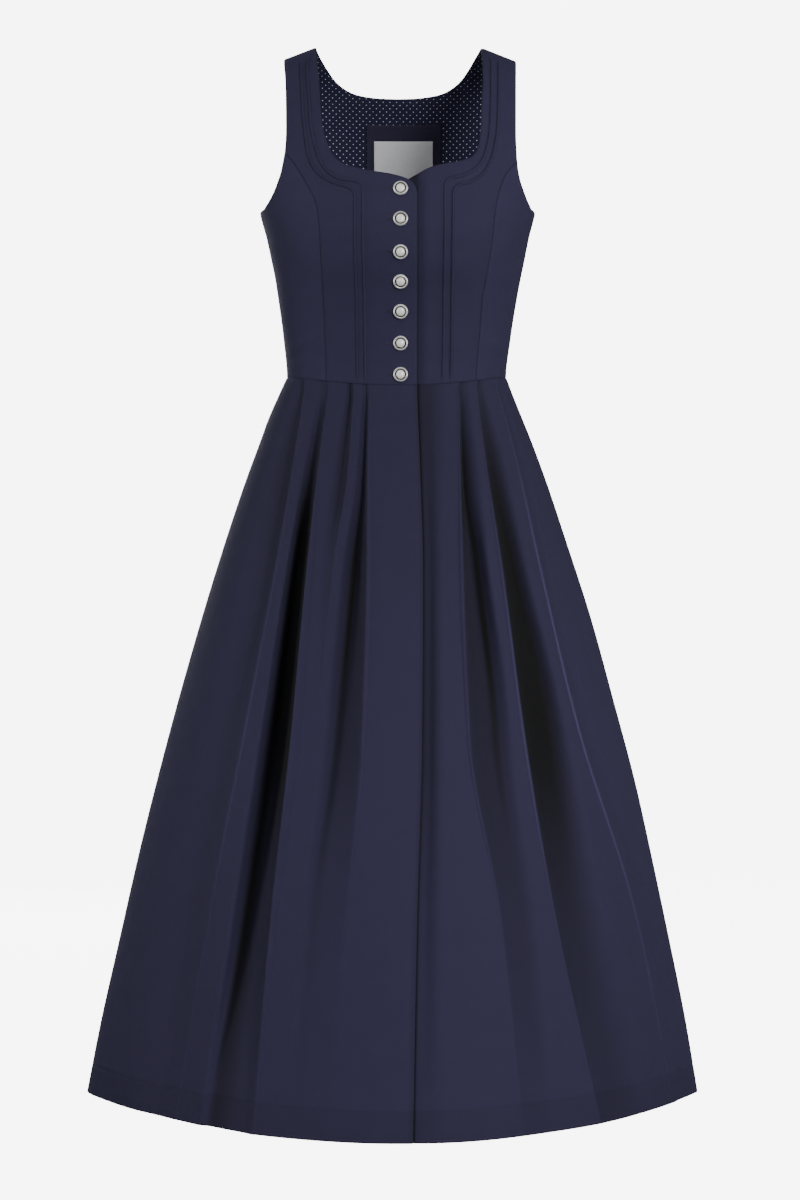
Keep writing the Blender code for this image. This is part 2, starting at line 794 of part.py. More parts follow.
def princess(sign):
    """The seam over the bust, from the armhole to the waist."""
    top = PRINCESS_RIGHT_TOP if sign < 0 else PRINCESS_LEFT_TOP
    rows = PRINCESS_RIGHT if sign < 0 else PRINCESS_LEFT
    foot = PRINCESS_RIGHT_FOOT if sign < 0 else PRINCESS_LEFT_FOOT
    start = armhole(front_armhole(sign), sign, top, top - 0.01)[0]
    end = (foot, float(waist_height(foot, -1)))
    return smooth_path([start, *rows, end])


def back_seam(sign):
    start = armhole(ARMHOLE_BACK, sign, BACK_SEAM_TOP, BACK_SEAM_TOP - 0.01)[0]
    foot = sign * BACK_SEAM_FOOT
    end = (foot, float(waist_height(foot, 1)))
    return smooth_path([start, *((sign * x, z) for x, z in BACK_SEAM), end])


def neck_end(sign):
    return (NECK_RIGHT if sign < 0 else NECK_LEFT)[0][0]


def front(sign, look):
    """A front with its strap. The right one ends at the placket's edge, the left one under it."""
    rows = front_armhole(sign)
    outer = sign * rows[0][0]
    seam = princess(sign)
    hole = armhole(rows, sign, rows[0][1], seam[0][1])
    hole = smooth_path(hole, ARMHOLE_SPACING)
    hole[0] = (outer, float(shoulder_lift(outer, 0.0)))
    hole[-1] = seam[0]
    edge = PLACKET_EDGE if sign < 0 else UNDERLAP_EDGE
    neck = NECK_RIGHT if sign < 0 else NECK_LEFT
    top = (edge, neck[-1][1] - 0.008)
    neck = smooth_path([*neck, top])
    shoulder = shoulder_path(neck[0][0], outer)
    neck[0] = shoulder[0]
    foot = waist_path(seam[-1][0], edge, -1)
    rise = smooth_path([foot[-1], top])
    outline = to_flat(joined(shoulder, hole, seam, foot, rise, neck[::-1]))
    tucks = [to_flat(smooth_path(rows)) for rows in (TUCKS_RIGHT if sign < 0 else TUCKS_LEFT)]

    def under(chart):
        hidden = 1 - smoothstep(PLACKET_EDGE + LAP_STEP, PLACKET_EDGE + LAP_BLEND, chart[:, 0])
        return (BODICE_WALL + LAP_GAP) * hidden

    name = "bodice_front_right" if sign < 0 else "bodice_front_left"
    return panel(name, outline, flat_chart(-1), look, tucks, under if sign > 0 else None)


def side_seam(sign):
    """The side seam on the round chart, from the underarm down."""
    levels = np.linspace(UNDERARM_LEVEL, WAIST_LEVEL, 15)
    angle = np.full(15, sign * math.pi / 2 * ROUND_RADIUS)
    return np.stack([angle, up_of(levels)], -1)


def side_front(sign, look):
    seam = princess(sign)
    hole = armhole(front_armhole(sign), sign, seam[0][1], UNDERARM_LEVEL)
    hole = to_round(smooth_path(hole, ARMHOLE_SPACING), -1)
    side = side_seam(sign)
    corner = smooth_path([hole[-2], hole[-1], side[0]], ARMHOLE_SPACING)
    hole = np.concatenate([hole[:-2], corner])
    seam = to_round(seam, -1)
    hole[0] = seam[0]
    angles = np.linspace(side[-1][0], seam[-1][0], 6)
    levels = np.full(6, WAIST_LEVEL)
    for _ in range(4):
        xs = torso_by_angle(angles / ROUND_RADIUS, levels)[:, 0]
        levels = waist_height(xs, -1)
    foot = np.stack([angles, up_of(levels)], -1)
    foot[0], foot[-1] = side[-1], seam[-1]
    name = "bodice_side_front_right" if sign < 0 else "bodice_side_front_left"
    return panel(name, joined(hole, side, foot, seam[::-1]), round_chart(), look)


def back_outline():
    """The back with the backs of both straps, between the two back seams."""
    halves = []
    for sign in (-1, 1):
        outer = sign * ARMHOLE_BACK[0][0]
        seam = back_seam(sign)
        hole = armhole(ARMHOLE_BACK, sign, ARMHOLE_BACK[0][1], seam[0][1])
        hole = smooth_path(hole, ARMHOLE_SPACING)
        hole[0] = (outer, float(shoulder_lift(outer, 0.0)))
        hole[-1] = seam[0]
        start = neck_end(sign)
        shoulder = shoulder_path(start, outer)
        neck = smooth_path([tuple(shoulder[0]), *((NECK_BACK_MIDDLE + sign * x, z) for x, z in NECK_BACK)])
        halves.append((neck[::-1], shoulder, hole, seam))
    right = joined(*halves[0])
    foot = waist_path(halves[0][3][-1][0], halves[1][3][-1][0], 1)
    left = np.concatenate([path[::-1] for path in halves[1][::-1]])
    return right, foot, left


def without_repeats(outline):
    kept = [outline[0]]
    for point in outline[1:]:
        if np.linalg.norm(point - kept[-1]) > 1e-6:
            kept.append(point)
    if np.linalg.norm(kept[0] - kept[-1]) < 1e-6:
        kept.pop()
    return np.array(kept)


def rectangle(edges):
    """The outline of a patch on the back's chart."""
    low, high, top, bottom = edges
    corners = [(low, top), (low, bottom), (high, bottom), (high, top), (low, top)]
    return to_flat(joined(*(smooth_path(pair) for pair in zip(corners, corners[1:]))))


def part_of(chart, faces, outline):
    """The stretch of a flat mesh that lies inside an outline."""
    centres = np.array([chart[list(face)].mean(axis=0) for face in faces])
    faces = [face for face, keep in zip(faces, inside(centres, outline)) if keep]
    used = sorted({i for face in faces for i in face})
    number = {old: new for new, old in enumerate(used)}
    return chart[used], [tuple(number[i] for i in face) for face in faces]


def back_with_lining(cloth, dotted, satin):
    """The back's middle piece, and what lies inside it: lining, patch and label. Each is made
    from the points of the one before, moved in."""
    right, foot, left = back_outline()
    outline = to_flat(without_repeats(np.concatenate([right, foot, left])))
    outline = inset(outline, SEAM_GAP / 2)
    patch, label = rectangle(PATCH_EDGES), rectangle(LABEL_EDGES)
    rings = [np.concatenate([ring, ring[:1]]) for ring in (patch, label)]
    chart, faces = filled(outline, rings)
    layers = (
        ("bodice_back_centre", chart, faces, BODICE_WALL, cloth),
        ("back_lining", chart, faces, LINING_WALL, dotted),
        ("label_patch", *part_of(chart, faces, patch), PATCH_WALL, cloth),
        ("neck_label", *part_of(chart, faces, label), PATCH_WALL, satin),
    )
    depth = 0.0
    for name, points, tiles, thickness, look in layers:
        level = np.zeros(len(points))
        wall(name, points, tiles, flat_chart(1), level, level + depth, thickness, look)
        depth += thickness + SEAM_GAP


def side_back(sign, look):
    seam = back_seam(sign)
    hole = armhole(ARMHOLE_BACK, sign, seam[0][1], UNDERARM_LEVEL)
    hole = to_round(smooth_path(hole, ARMHOLE_SPACING), 1)
    seam = to_round(seam, 1)
    side = side_seam(sign)
    if sign < 0:
        side = side + (2 * math.pi * ROUND_RADIUS, 0)
    corner = smooth_path([hole[-2], hole[-1], side[0]], ARMHOLE_SPACING)
    hole = np.concatenate([hole[:-2], corner])
    hole[0] = seam[0]
    angles = np.linspace(side[-1][0], seam[-1][0], 8)
    levels = np.full(8, WAIST_LEVEL)
    for _ in range(4):
        xs = torso_by_angle(angles / ROUND_RADIUS, levels)[:, 0]
        levels = waist_height(xs, 1)
    foot = np.stack([angles, up_of(levels)], -1)
    foot[0], foot[-1] = side[-1], seam[-1]
    name = "bodice_back_side_right" if sign < 0 else "bodice_back_side_left"
    return panel(name, joined(hole, side, foot, seam[::-1]), round_chart(), look)


def turned(name, profile, sides, place, look):
    """A solid turned about its own Z axis from (radius, height) points, closed on the axis."""
    points = []
    faces = []
    for radius, height in profile[1:-1]:
        for i in range(sides):
            angle = 2 * math.pi * i / sides
            points.append((radius * math.cos(angle), radius * math.sin(angle), height))
    low, high = len(points), len(points) + 1
    points += [(0, 0, profile[0][1]), (0, 0, profile[-1][1])]
    rings = len(profile) - 2
    for i in range(sides):
        j = (i + 1) % sides
        faces.append((low, j, i))
        for ring in range(rings - 1):
            a, b = ring * sides + i, ring * sides + j
            faces.append((a, b, b + sides, a + sides))
        last = (rings - 1) * sides
        faces.append((last + i, last + j, high))
    made = mesh_object(name, points, faces, look)
    made.matrix_world = place
    return made


def rim_profile():
    inner, outer = BUTTON_RIM_INNER, BUTTON_RADIUS
    base, top = BUTTON_BASE, BUTTON_RIM_HEIGHT
    middle = (inner + outer) / 2
    return (
        (0, 0),
        (outer - 0.0012, 0),
        (outer - 0.0002, 0.0008),
        (outer, top * 0.55),
        (outer - 0.0007, top * 0.90),
        (middle, top),
        (inner + 0.0003, top * 0.85),
        (inner, base),
        (0, base),
    )


def pearl_profile():
    base = BUTTON_BASE + SEAM_GAP
    rise = PEARL_HEIGHT - base - 0.0012
    steps = 3
    dome = [
        (
            PEARL_RADIUS * math.cos(math.pi / 2 * i / steps),
            base + 0.0012 + rise * math.sin(math.pi / 2 * i / steps),
        )
        for i in range(steps)
    ]
    return ((0, base), (PEARL_RADIUS - 0.0003, base), *dome, (0, PEARL_HEIGHT))


def button_place(height):
    """Where a button sits on the right front, and the way it faces."""
    chart = to_flat([(BUTTON_X, height)])
    points, normals = flat_chart(-1)(chart)
    point, normal = Vector(points[0]), Vector(normals[0])
    turn = normal.to_track_quat("Z", "Y").to_matrix().to_4x4()
    return Matrix.Translation(point + normal * BUTTON_SEAT) @ turn


def buttons(silver, pearl):
    for number, height in enumerate(BUTTON_HEIGHTS, 1):
        place = button_place(height)
        turned(f"button_rim_{number}", rim_profile(), RIM_SIDES, place, silver)
        turned(f"button_pearl_{number}", pearl_profile(), PEARL_SIDES, place, pearl)


def skirt_ring(level):
    """The plain bell at one level: directions, arc lengths from the middle of the front, points
    and the directions out of it."""
    angles = np.linspace(-math.pi, math.pi, RING_STEPS + 1)
    get = lambda name: float(column(SKIRT, SKIRT_COLUMNS, name, level))
    sine, cosine = np.sin(angles), np.cos(angles)
    half = np.where(sine < 0, get("right"), get("left"))
    depth = np.where(cosine > 0, -get("front"), get("back"))
    share = np.clip(1 - np.abs(sine) ** get("power"), 0, 1) ** (1 / get("depth_power"))
    points = np.stack([half * sine, depth * share], -1)
    steps = np.linalg.norm(np.diff(points, axis=0), axis=1)
    arc = np.concatenate([[0], np.cumsum(steps)])
    arc -= arc[RING_STEPS // 2]
    along = np.gradient(points, axis=0)
    along /= np.linalg.norm(along, axis=1, keepdims=True)
    outward = np.stack([along[:, 1], -along[:, 0]], -1)
    return angles, arc, points, outward


def arc_of(ring, x, side):
    """The arc length at which the ring has this x, in front (side -1) or behind (side 1)."""
    angles, arc, points, _ = ring
    quarter = RING_STEPS // 4
    if side < 0:
        at = slice(quarter, 3 * quarter + 1)
    elif x < 0:
        at = slice(0, quarter + 1)
    else:
        at = slice(3 * quarter, RING_STEPS + 1)
    xs, arcs = points[at, 0], arc[at]
    order = np.argsort(xs)
    return float(np.interp(x, xs[order], arcs[order]))


def bump(place, middle, reach):
    return 0.5 + 0.5 * np.cos(math.pi * np.clip(np.abs(place - middle) / reach, 0, 1))


def fold_shape(fold, side, level, ring):
    """The arc lengths and offsets of a fold's steps, from its inner end to its outer one."""
    _, faces, near, edge, depth, low, reach = fold
    at = lambda values: float(curve(FOLD_LEVELS, values, level))
    deep = at(depth)
    steps = np.array(FOLD_STEPS)
    rise = max(EDGE_RISE * deep, EDGE_RISE_LEAST)
    lowest = at(low)
    shares = (0, HOLLOW_MIDDLE / 2, HOLLOW_MIDDLE, 1)
    beyond = curve(shares, (0, near * lowest, lowest, at(reach)), steps)
    along = np.where(steps < 0, rise * steps, beyond)
    ridge = bump(steps, 0, np.where(steps < 0, 1, RIDGE_REACH))
    hollow = bump(steps, HOLLOW_MIDDLE, 1 - HOLLOW_MIDDLE)
    way = faces if side < 0 else -faces
    start = arc_of(ring, at(edge), side)
    return start + way * along, deep * (RIDGE_SHARE * ridge - (1 - RIDGE_SHARE) * hollow)


def between(start, end, count):
    """Arc lengths strictly between two, whose number doesn't change with the level."""
    return start + (end - start) * np.arange(1, count + 1) / (count + 1)


def skirt_columns(piece, level, ring):
    """Arc lengths and offsets across one piece of the skirt, in order of arc length."""
    _, arc, _, _ = ring
    right_seam, left_seam = (float(arc[i * RING_STEPS // 4]) for i in (1, 3))
    at = lambda values: float(curve(FOLD_LEVELS, values, level))
    lap = arc_of(ring, at(LAP_EDGE), -1)
    half = SEAM_GAP / 2
    if piece == "front_right":
        starts, stops = [(right_seam + half, 0.0)], [(lap, 0.0)]
        folds = [(fold, -1) for fold in FRONT_FOLDS if fold[1] < 0]
    elif piece == "front_left":
        sunk = -(SKIRT_WALL + LAP_GAP)
        starts = [(lap - SKIRT_UNDERLAP, sunk), (lap + LAP_STEP, sunk)]
        for share, rise in ((LAP_HOLLOW_AT, LAP_HOLLOW), (LAP_RIDGE_AT, LAP_RIDGE)):
            starts.append((lap + share * at(LAP_REACH), at(rise)))
        starts.append((lap + at(LAP_REACH), 0.0))
        stops = [(left_seam - half, 0.0)]
        folds = [(fold, -1) for fold in FRONT_FOLDS if fold[1] > 0]
    else:
        starts, stops = [(left_seam + half, 0.0)], [(float(arc[-1] - arc[0]) + right_seam - half, 0.0)]
        folds = [(fold, 1) for fold in reversed(BACK_FOLDS)]
    groups = [np.array(starts)]
    for fold, side in folds:
        arcs, offsets = fold_shape(fold, side, level, ring)
        if side > 0 and arcs[0] < 0:
            arcs = arcs + float(arc[-1] - arc[0])
        order = np.stack([arcs, offsets], -1)
        groups.append(order if order[0, 0] < order[-1, 0] else order[::-1])
    groups.append(np.array(stops))
    rows = [groups[0]]
    for before, after in zip(groups, groups[1:]):
        gap = between(before[-1, 0], after[0, 0], GAP_COLUMNS)
        rows.append(np.stack([gap, np.zeros(len(gap))], -1))
        rows.append(after)
    return np.concatenate(rows)


def skirt_piece(piece, look):
    grid = []
    for share in SKIRT_ROWS:
        level = WAIST_LEVEL + share * (HEM_LEVEL - WAIST_LEVEL)
        ring = skirt_ring(level)
        _, arc, points, outward = ring
        arcs, offsets = skirt_columns(piece, level, ring).T
        whole = arc[-1] - arc[0]
        wrapped = (arcs - arc[0]) % whole + arc[0]
        place = np.stack([np.interp(wrapped, arc, points[:, i]) for i in (0, 1)], -1)
        away = np.stack([np.interp(wrapped, arc, outward[:, i]) for i in (0, 1)], -1)
        side = 1 if piece == "back" else -1
        rise, sink = np.maximum(offsets, 0), np.minimum(offsets, 0)
        place = place + away * rise[:, None] + np.outer(sink, (0, side))
        top = waist_height(place[:, 0], side) - SEAM_GAP
        z = top + share * (HEM_LEVEL - top)
        grid.append(np.column_stack([place, z]))
    grid = np.array(grid)
    across = np.gradient(grid, axis=1)
    normals = np.stack([across[..., 1], -across[..., 0], np.zeros(grid.shape[:2])], -1)
    normals /= np.linalg.norm(normals, axis=-1, keepdims=True)
    for end in (0, -1):
        if abs(grid[-1, end, 1]) < SKIRT_WALL:
            normals[:, end] = (math.copysign(1, grid[-1, end, 0]), 0, 0)
    outer = (grid + normals * SKIRT_WALL / 2).reshape(-1, 3)
    inner = (grid - normals * SKIRT_WALL / 2).reshape(-1, 3)
    rows, columns = grid.shape[:2]
    count = rows * columns
    faces = []
    for i in range(rows - 1):
        for j in range(columns - 1):
            a = i * columns + j
            b, c, d = a + 1, a + 1 + columns, a + columns
            faces += [(a, d, c), (a, c, b), (a + count, c + count, d + count)]
            faces.append((a + count, b + count, c + count))
    border = [i * columns for i in range(rows)]
    border += [(rows - 1) * columns + j for j in range(1, columns)]
    border += [i * columns + columns - 1 for i in range(rows - 2, -1, -1)]
    border += list(range(columns - 2, 0, -1))
    for a, b in zip(border, border[1:] + border[:1]):
        faces.append((b, a, a + count, b + count))
    return mesh_object(f"skirt_{piece}", np.concatenate([outer, inner]), faces, look)


def main():
    clear_scene()
    cloth = material("cloth", CLOTH_COLOUR, 0.85)
    dotted = material("lining", LINING_COLOUR, 0.80)
    satin = material("label", LABEL_COLOUR, 0.45)
    silver = material("silver", SILVER_COLOUR, 0.32, 1.0)
    pearl = material("pearl", PEARL_COLOUR, 0.25)
    for sign in (-1, 1):
        front(sign, cloth)
        side_front(sign, cloth)
        side_back(sign, cloth)
    back_with_lining(cloth, dotted, satin)
    buttons(silver, pearl)
    for piece in ("front_right", "front_left", "back"):
        skirt_piece(piece, cloth)


main()
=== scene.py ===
"""The looks of a dirndl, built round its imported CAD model.

Metres, +Z up, front facing -Y, in the frame of the model. Each piece of cloth is a thin closed
shell on the form of its CAD node, with the same named lines and finer relief.
"""

import math

import bpy
import numpy as np
from mathutils import Matrix, Vector
from mathutils.geometry import delaunay_2d_cdt


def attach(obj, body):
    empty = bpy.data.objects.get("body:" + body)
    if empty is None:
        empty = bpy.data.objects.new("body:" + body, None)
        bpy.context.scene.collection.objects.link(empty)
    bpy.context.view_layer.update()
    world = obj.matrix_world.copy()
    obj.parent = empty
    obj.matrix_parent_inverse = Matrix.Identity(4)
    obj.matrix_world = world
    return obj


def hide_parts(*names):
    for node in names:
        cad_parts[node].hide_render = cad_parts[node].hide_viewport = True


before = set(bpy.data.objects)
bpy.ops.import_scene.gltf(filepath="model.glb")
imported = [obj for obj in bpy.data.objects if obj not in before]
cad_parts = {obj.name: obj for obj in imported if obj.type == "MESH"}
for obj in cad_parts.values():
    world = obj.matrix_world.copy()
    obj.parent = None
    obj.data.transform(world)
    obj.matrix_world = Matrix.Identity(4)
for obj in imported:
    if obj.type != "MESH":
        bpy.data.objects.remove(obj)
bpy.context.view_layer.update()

# The camera stands where the photograph was taken from
IMAGE_HEIGHT = 1200
METRES_PER_PIXEL = 0.00119
CAMERA_DISTANCE = 3.3
CAMERA_HEIGHT = -0.6486
SENSOR = 36.0
FLOOR_LEVEL = -1.40
FLOOR_REACH = 40.0

# Cloth, with its interlining, as the thickness of a wall
BODICE_WALL = 0.0014
LINING_WALL = 0.0010
PATCH_WALL = 0.0010
SKIRT_WALL = 0.0012
SEAM_GAP = 0.0003

# The skirt's pieces meet at the sides and the waist, so that no light shows between them
SEAM_CLOSED = 0.000004
WAIST_SLIT = 0.00005

# Heights of the main lines
BUST_LEVEL = -0.220
BLADE_LEVEL = -0.170
UNDERARM_LEVEL = -0.1898
WAIST_LEVEL = -0.3856
WAIST_DIP_FRONT = 0.0150
WAIST_DIP_BACK = 0.0040
HEM_LEVEL = -1.234

# Shoulders: the seam rises a little at the neck and slopes down to the armhole
NECK_POINT = 0.100
SHOULDER_RISE = 0.0082
SHOULDER_TILT = 0.008
SHOULDER_SLOPE = 0.390
FRONT_SHOULDER_ROUND = 1.55
BACK_SHOULDER_ROUND = 1.90

# The bodice's cross-sections. From the bust up, the depths follow the rounding of the shoulder.
TORSO_COLUMNS = ("level", "right", "left", "front", "back", "power")
TORSO = (
    (-0.4200, 0.1405, 0.1317, 0.096, 0.094, 2.20),
    (-0.3856, 0.1345, 0.1262, 0.096, 0.092, 2.20),
    (-0.3390, 0.1384, 0.1315, 0.101, 0.094, 2.25),
    (-0.2920, 0.1447, 0.1389, 0.113, 0.098, 2.30),
    (-0.2680, 0.1483, 0.1434, 0.122, 0.100, 2.30),
    (-0.2440, 0.1532, 0.1484, 0.129, 0.103, 2.30),
    (-0.2200, 0.1584, 0.1532, 0.132, 0.105, 2.30),
    (-0.1900, 0.1664, 0.1607, 0.130, 0.106, 2.30),
    (-0.1500, 0.1725, 0.1675, 0.120, 0.106, 2.30),
    (-0.1100, 0.1750, 0.1705, 0.100, 0.101, 2.30),
    (0.0100, 0.1750, 0.1705, 0.080, 0.090, 2.30),
)

# Edges of the bodice's pieces seen from the front, as (x, z). Where both sides are alike, x is
# the distance from the middle.
ARMHOLE_FRONT_RIGHT = (
    (0.1384, -0.0095), (0.1356, -0.0366), (0.1341, -0.0700), (0.1334, -0.1070), (0.1344, -0.1260),
    (0.1387, -0.1495), (0.1425, -0.1610), (0.1471, -0.1720), (0.1530, -0.1818), (0.1568, -0.1860),
    (0.1640, -0.1925),
)
ARMHOLE_FRONT_LEFT = (
    (0.1384, -0.0095), (0.1373, -0.0366), (0.1365, -0.0700), (0.1359, -0.1070), (0.1366, -0.1310),
    (0.1383, -0.1489), (0.1408, -0.1605), (0.1448, -0.1712), (0.1495, -0.1814), (0.1524, -0.1858),
    (0.1590, -0.1930),
)
ARMHOLE_BACK = (
    (0.1384, -0.0100), (0.1340, -0.0400), (0.1315, -0.0750), (0.1305, -0.1050), (0.1325, -0.1300),
    (0.1375, -0.1510), (0.1440, -0.1680), (0.1510, -0.1800), (0.1556, -0.1862), (0.1605, -0.1925),
)
NECK_RIGHT = (
    (-0.1000, 0.0060), (-0.0980, -0.0100), (-0.0950, -0.0380), (-0.0933, -0.0650),
    (-0.0911, -0.0910), (-0.0868, -0.1130), (-0.0808, -0.1290), (-0.0745, -0.1390),
    (-0.0660, -0.1455), (-0.0515, -0.1510), (-0.0345, -0.1550), (-0.0115, -0.1590),
    (0.0030, -0.1630), (0.0125, -0.1675), (0.0180, -0.1745),
)
NECK_LEFT = (
    (0.0955, 0.0060), (0.0970, -0.0100), (0.0973, -0.0380), (0.0955, -0.0650), (0.0937, -0.1000),
    (0.0912, -0.1215), (0.0866, -0.1325), (0.0805, -0.1385), (0.0690, -0.1425), (0.0517, -0.1462),
    (0.0380, -0.1500), (0.0285, -0.1540), (0.0172, -0.1600), (0.0080, -0.1655), (-0.0060, -0.1720),
)
NECK_BACK_MIDDLE = -0.0024
NECK_BACK = (
    (0.0930, 0.0018), (0.0850, -0.0096), (0.0755, -0.0212), (0.0640, -0.0296), (0.0500, -0.0352),
    (0.0270, -0.0386), (0.0000, -0.0396),
)
PRINCESS_RIGHT_TOP = -0.128
PRINCESS_RIGHT = (
    (-0.1216, -0.1450), (-0.1120, -0.1615), (-0.1037, -0.1765), (-0.0970, -0.1920),
    (-0.0935, -0.2150), (-0.0918, -0.2450), (-0.0895, -0.2900), (-0.0880, -0.3300),
    (-0.0868, -0.3650),
)
PRINCESS_LEFT_TOP = -0.137
PRINCESS_LEFT = (
    (0.1225, -0.1565), (0.1155, -0.1740), (0.1115, -0.1920), (0.1090, -0.2120), (0.1060, -0.2400),
    (0.1005, -0.2725), (0.0955, -0.3010), (0.0930, -0.3350), (0.0905, -0.3650),
)
PRINCESS_RIGHT_FOOT = -0.0860
PRINCESS_LEFT_FOOT = 0.0885
BACK_SEAM_TOP = -0.112
BACK_SEAM = (
    (0.1150, -0.1290), (0.1010, -0.1520), (0.0900, -0.1830), (0.0820, -0.2250), (0.0750, -0.2750),
    (0.0700, -0.3300),
)
BACK_SEAM_FOOT = 0.0680

# The button placket: the right front lies on the left one
PLACKET_EDGE = 0.0200
UNDERLAP_EDGE = -0.0200
LAP_GAP = 0.0012
LAP_FLAT = 0.001
LAP_BLEND = 0.010
NECK_TURN = 0.008

# Pintucks, raised along lines beside the neckline and then straight down
TUCK_HALF_WIDTH = 0.0015
TUCK_TAPER = 0.006
TUCKS_RIGHT = (
    (
        (-0.1172, -0.0120), (-0.1155, -0.0400), (-0.1130, -0.0770), (-0.1090, -0.1150),
        (-0.1040, -0.1400), (-0.0930, -0.1580), (-0.0770, -0.1690), (-0.0600, -0.1750),
        (-0.0530, -0.1810), (-0.0518, -0.1920), (-0.0518, -0.2360), (-0.0500, -0.3030),
        (-0.0492, -0.3940),
    ),
    (
        (-0.1090, -0.0080), (-0.1083, -0.0400), (-0.1060, -0.0650), (-0.1034, -0.0970),
        (-0.0983, -0.1222), (-0.0923, -0.1410), (-0.0829, -0.1560), (-0.0689, -0.1650),
        (-0.0520, -0.1680), (-0.0440, -0.1730), (-0.0424, -0.1840), (-0.0423, -0.2370),
        (-0.0409, -0.3030), (-0.0400, -0.3955),
    ),
)
TUCKS_LEFT = (
    (
        (0.1170, -0.0120), (0.1160, -0.0400), (0.1140, -0.0900), (0.1120, -0.1120),
        (0.1070, -0.1350), (0.1010, -0.1490), (0.0930, -0.1600), (0.0800, -0.1680),
        (0.0670, -0.1725), (0.0617, -0.1790), (0.0610, -0.1900), (0.0607, -0.2360),
        (0.0600, -0.3030), (0.0591, -0.3935),
    ),
    (
        (0.1080, -0.0080), (0.1075, -0.0400), (0.1055, -0.0900), (0.1030, -0.1150),
        (0.0970, -0.1370), (0.0885, -0.1500), (0.0745, -0.1600), (0.0600, -0.1640),
        (0.0530, -0.1690), (0.0517, -0.1800), (0.0515, -0.2360), (0.0507, -0.3040),
        (0.0498, -0.3945),
    ),
)

# Inside the back, a patch on the lining carries the neck label: sides, top and bottom
PATCH_EDGES = (-0.0415, 0.0500, -0.0680, -0.1600)
LABEL_EDGES = (-0.0320, 0.0405, -0.0870, -0.1420)

# Buttons: a milled rim round a domed centre
BUTTON_X = 0.0006
BUTTON_HEIGHTS = (-0.1775, -0.2130, -0.2500, -0.2825, -0.3160, -0.3520, -0.3880)
BUTTON_RADIUS = 0.0086
BUTTON_SEAT = 0.0004
BUTTON_BASE = 0.0010
BUTTON_RIM_HEIGHT = 0.0034
BUTTON_RIM_INNER = 0.0058
PEARL_RADIUS = 0.0052
PEARL_HEIGHT = 0.0046

# The skirt's plain bell, before its folds
SKIRT_COLUMNS = ("level", "right", "left", "front", "back", "power", "depth_power")
SKIRT = (
    (-1.2340, 0.3722, 0.3540, 0.3165, 0.3160, 2.00, 1.10),
    (-1.1480, 0.3553, 0.3395, 0.2980, 0.3020, 2.00, 1.17),
    (-1.0530, 0.3339, 0.3204, 0.2800, 0.2850, 2.00, 1.26),
    (-0.9580, 0.3124, 0.3002, 0.2600, 0.2660, 2.00, 1.35),
    (-0.8630, 0.2886, 0.2788, 0.2380, 0.2450, 2.02, 1.44),
    (-0.7680, 0.2636, 0.2537, 0.2140, 0.2210, 2.04, 1.53),
    (-0.6720, 0.2363, 0.2276, 0.1880, 0.1940, 2.07, 1.64),
    (-0.5770, 0.2067, 0.1968, 0.1600, 0.1660, 2.10, 1.78),
    (-0.5060, 0.1827, 0.1729, 0.1370, 0.1410, 2.14, 1.92),
    (-0.4580, 0.1649, 0.1550, 0.1190, 0.1220, 2.17, 2.03),
    (-0.4340, 0.1563, 0.1453, 0.1105, 0.1115, 2.18, 2.10),
    (-0.4106, 0.1459, 0.1357, 0.1020, 0.1005, 2.20, 2.18),
    (-0.3856, 0.1345, 0.1262, 0.0960, 0.0920, 2.20, 2.20),
)

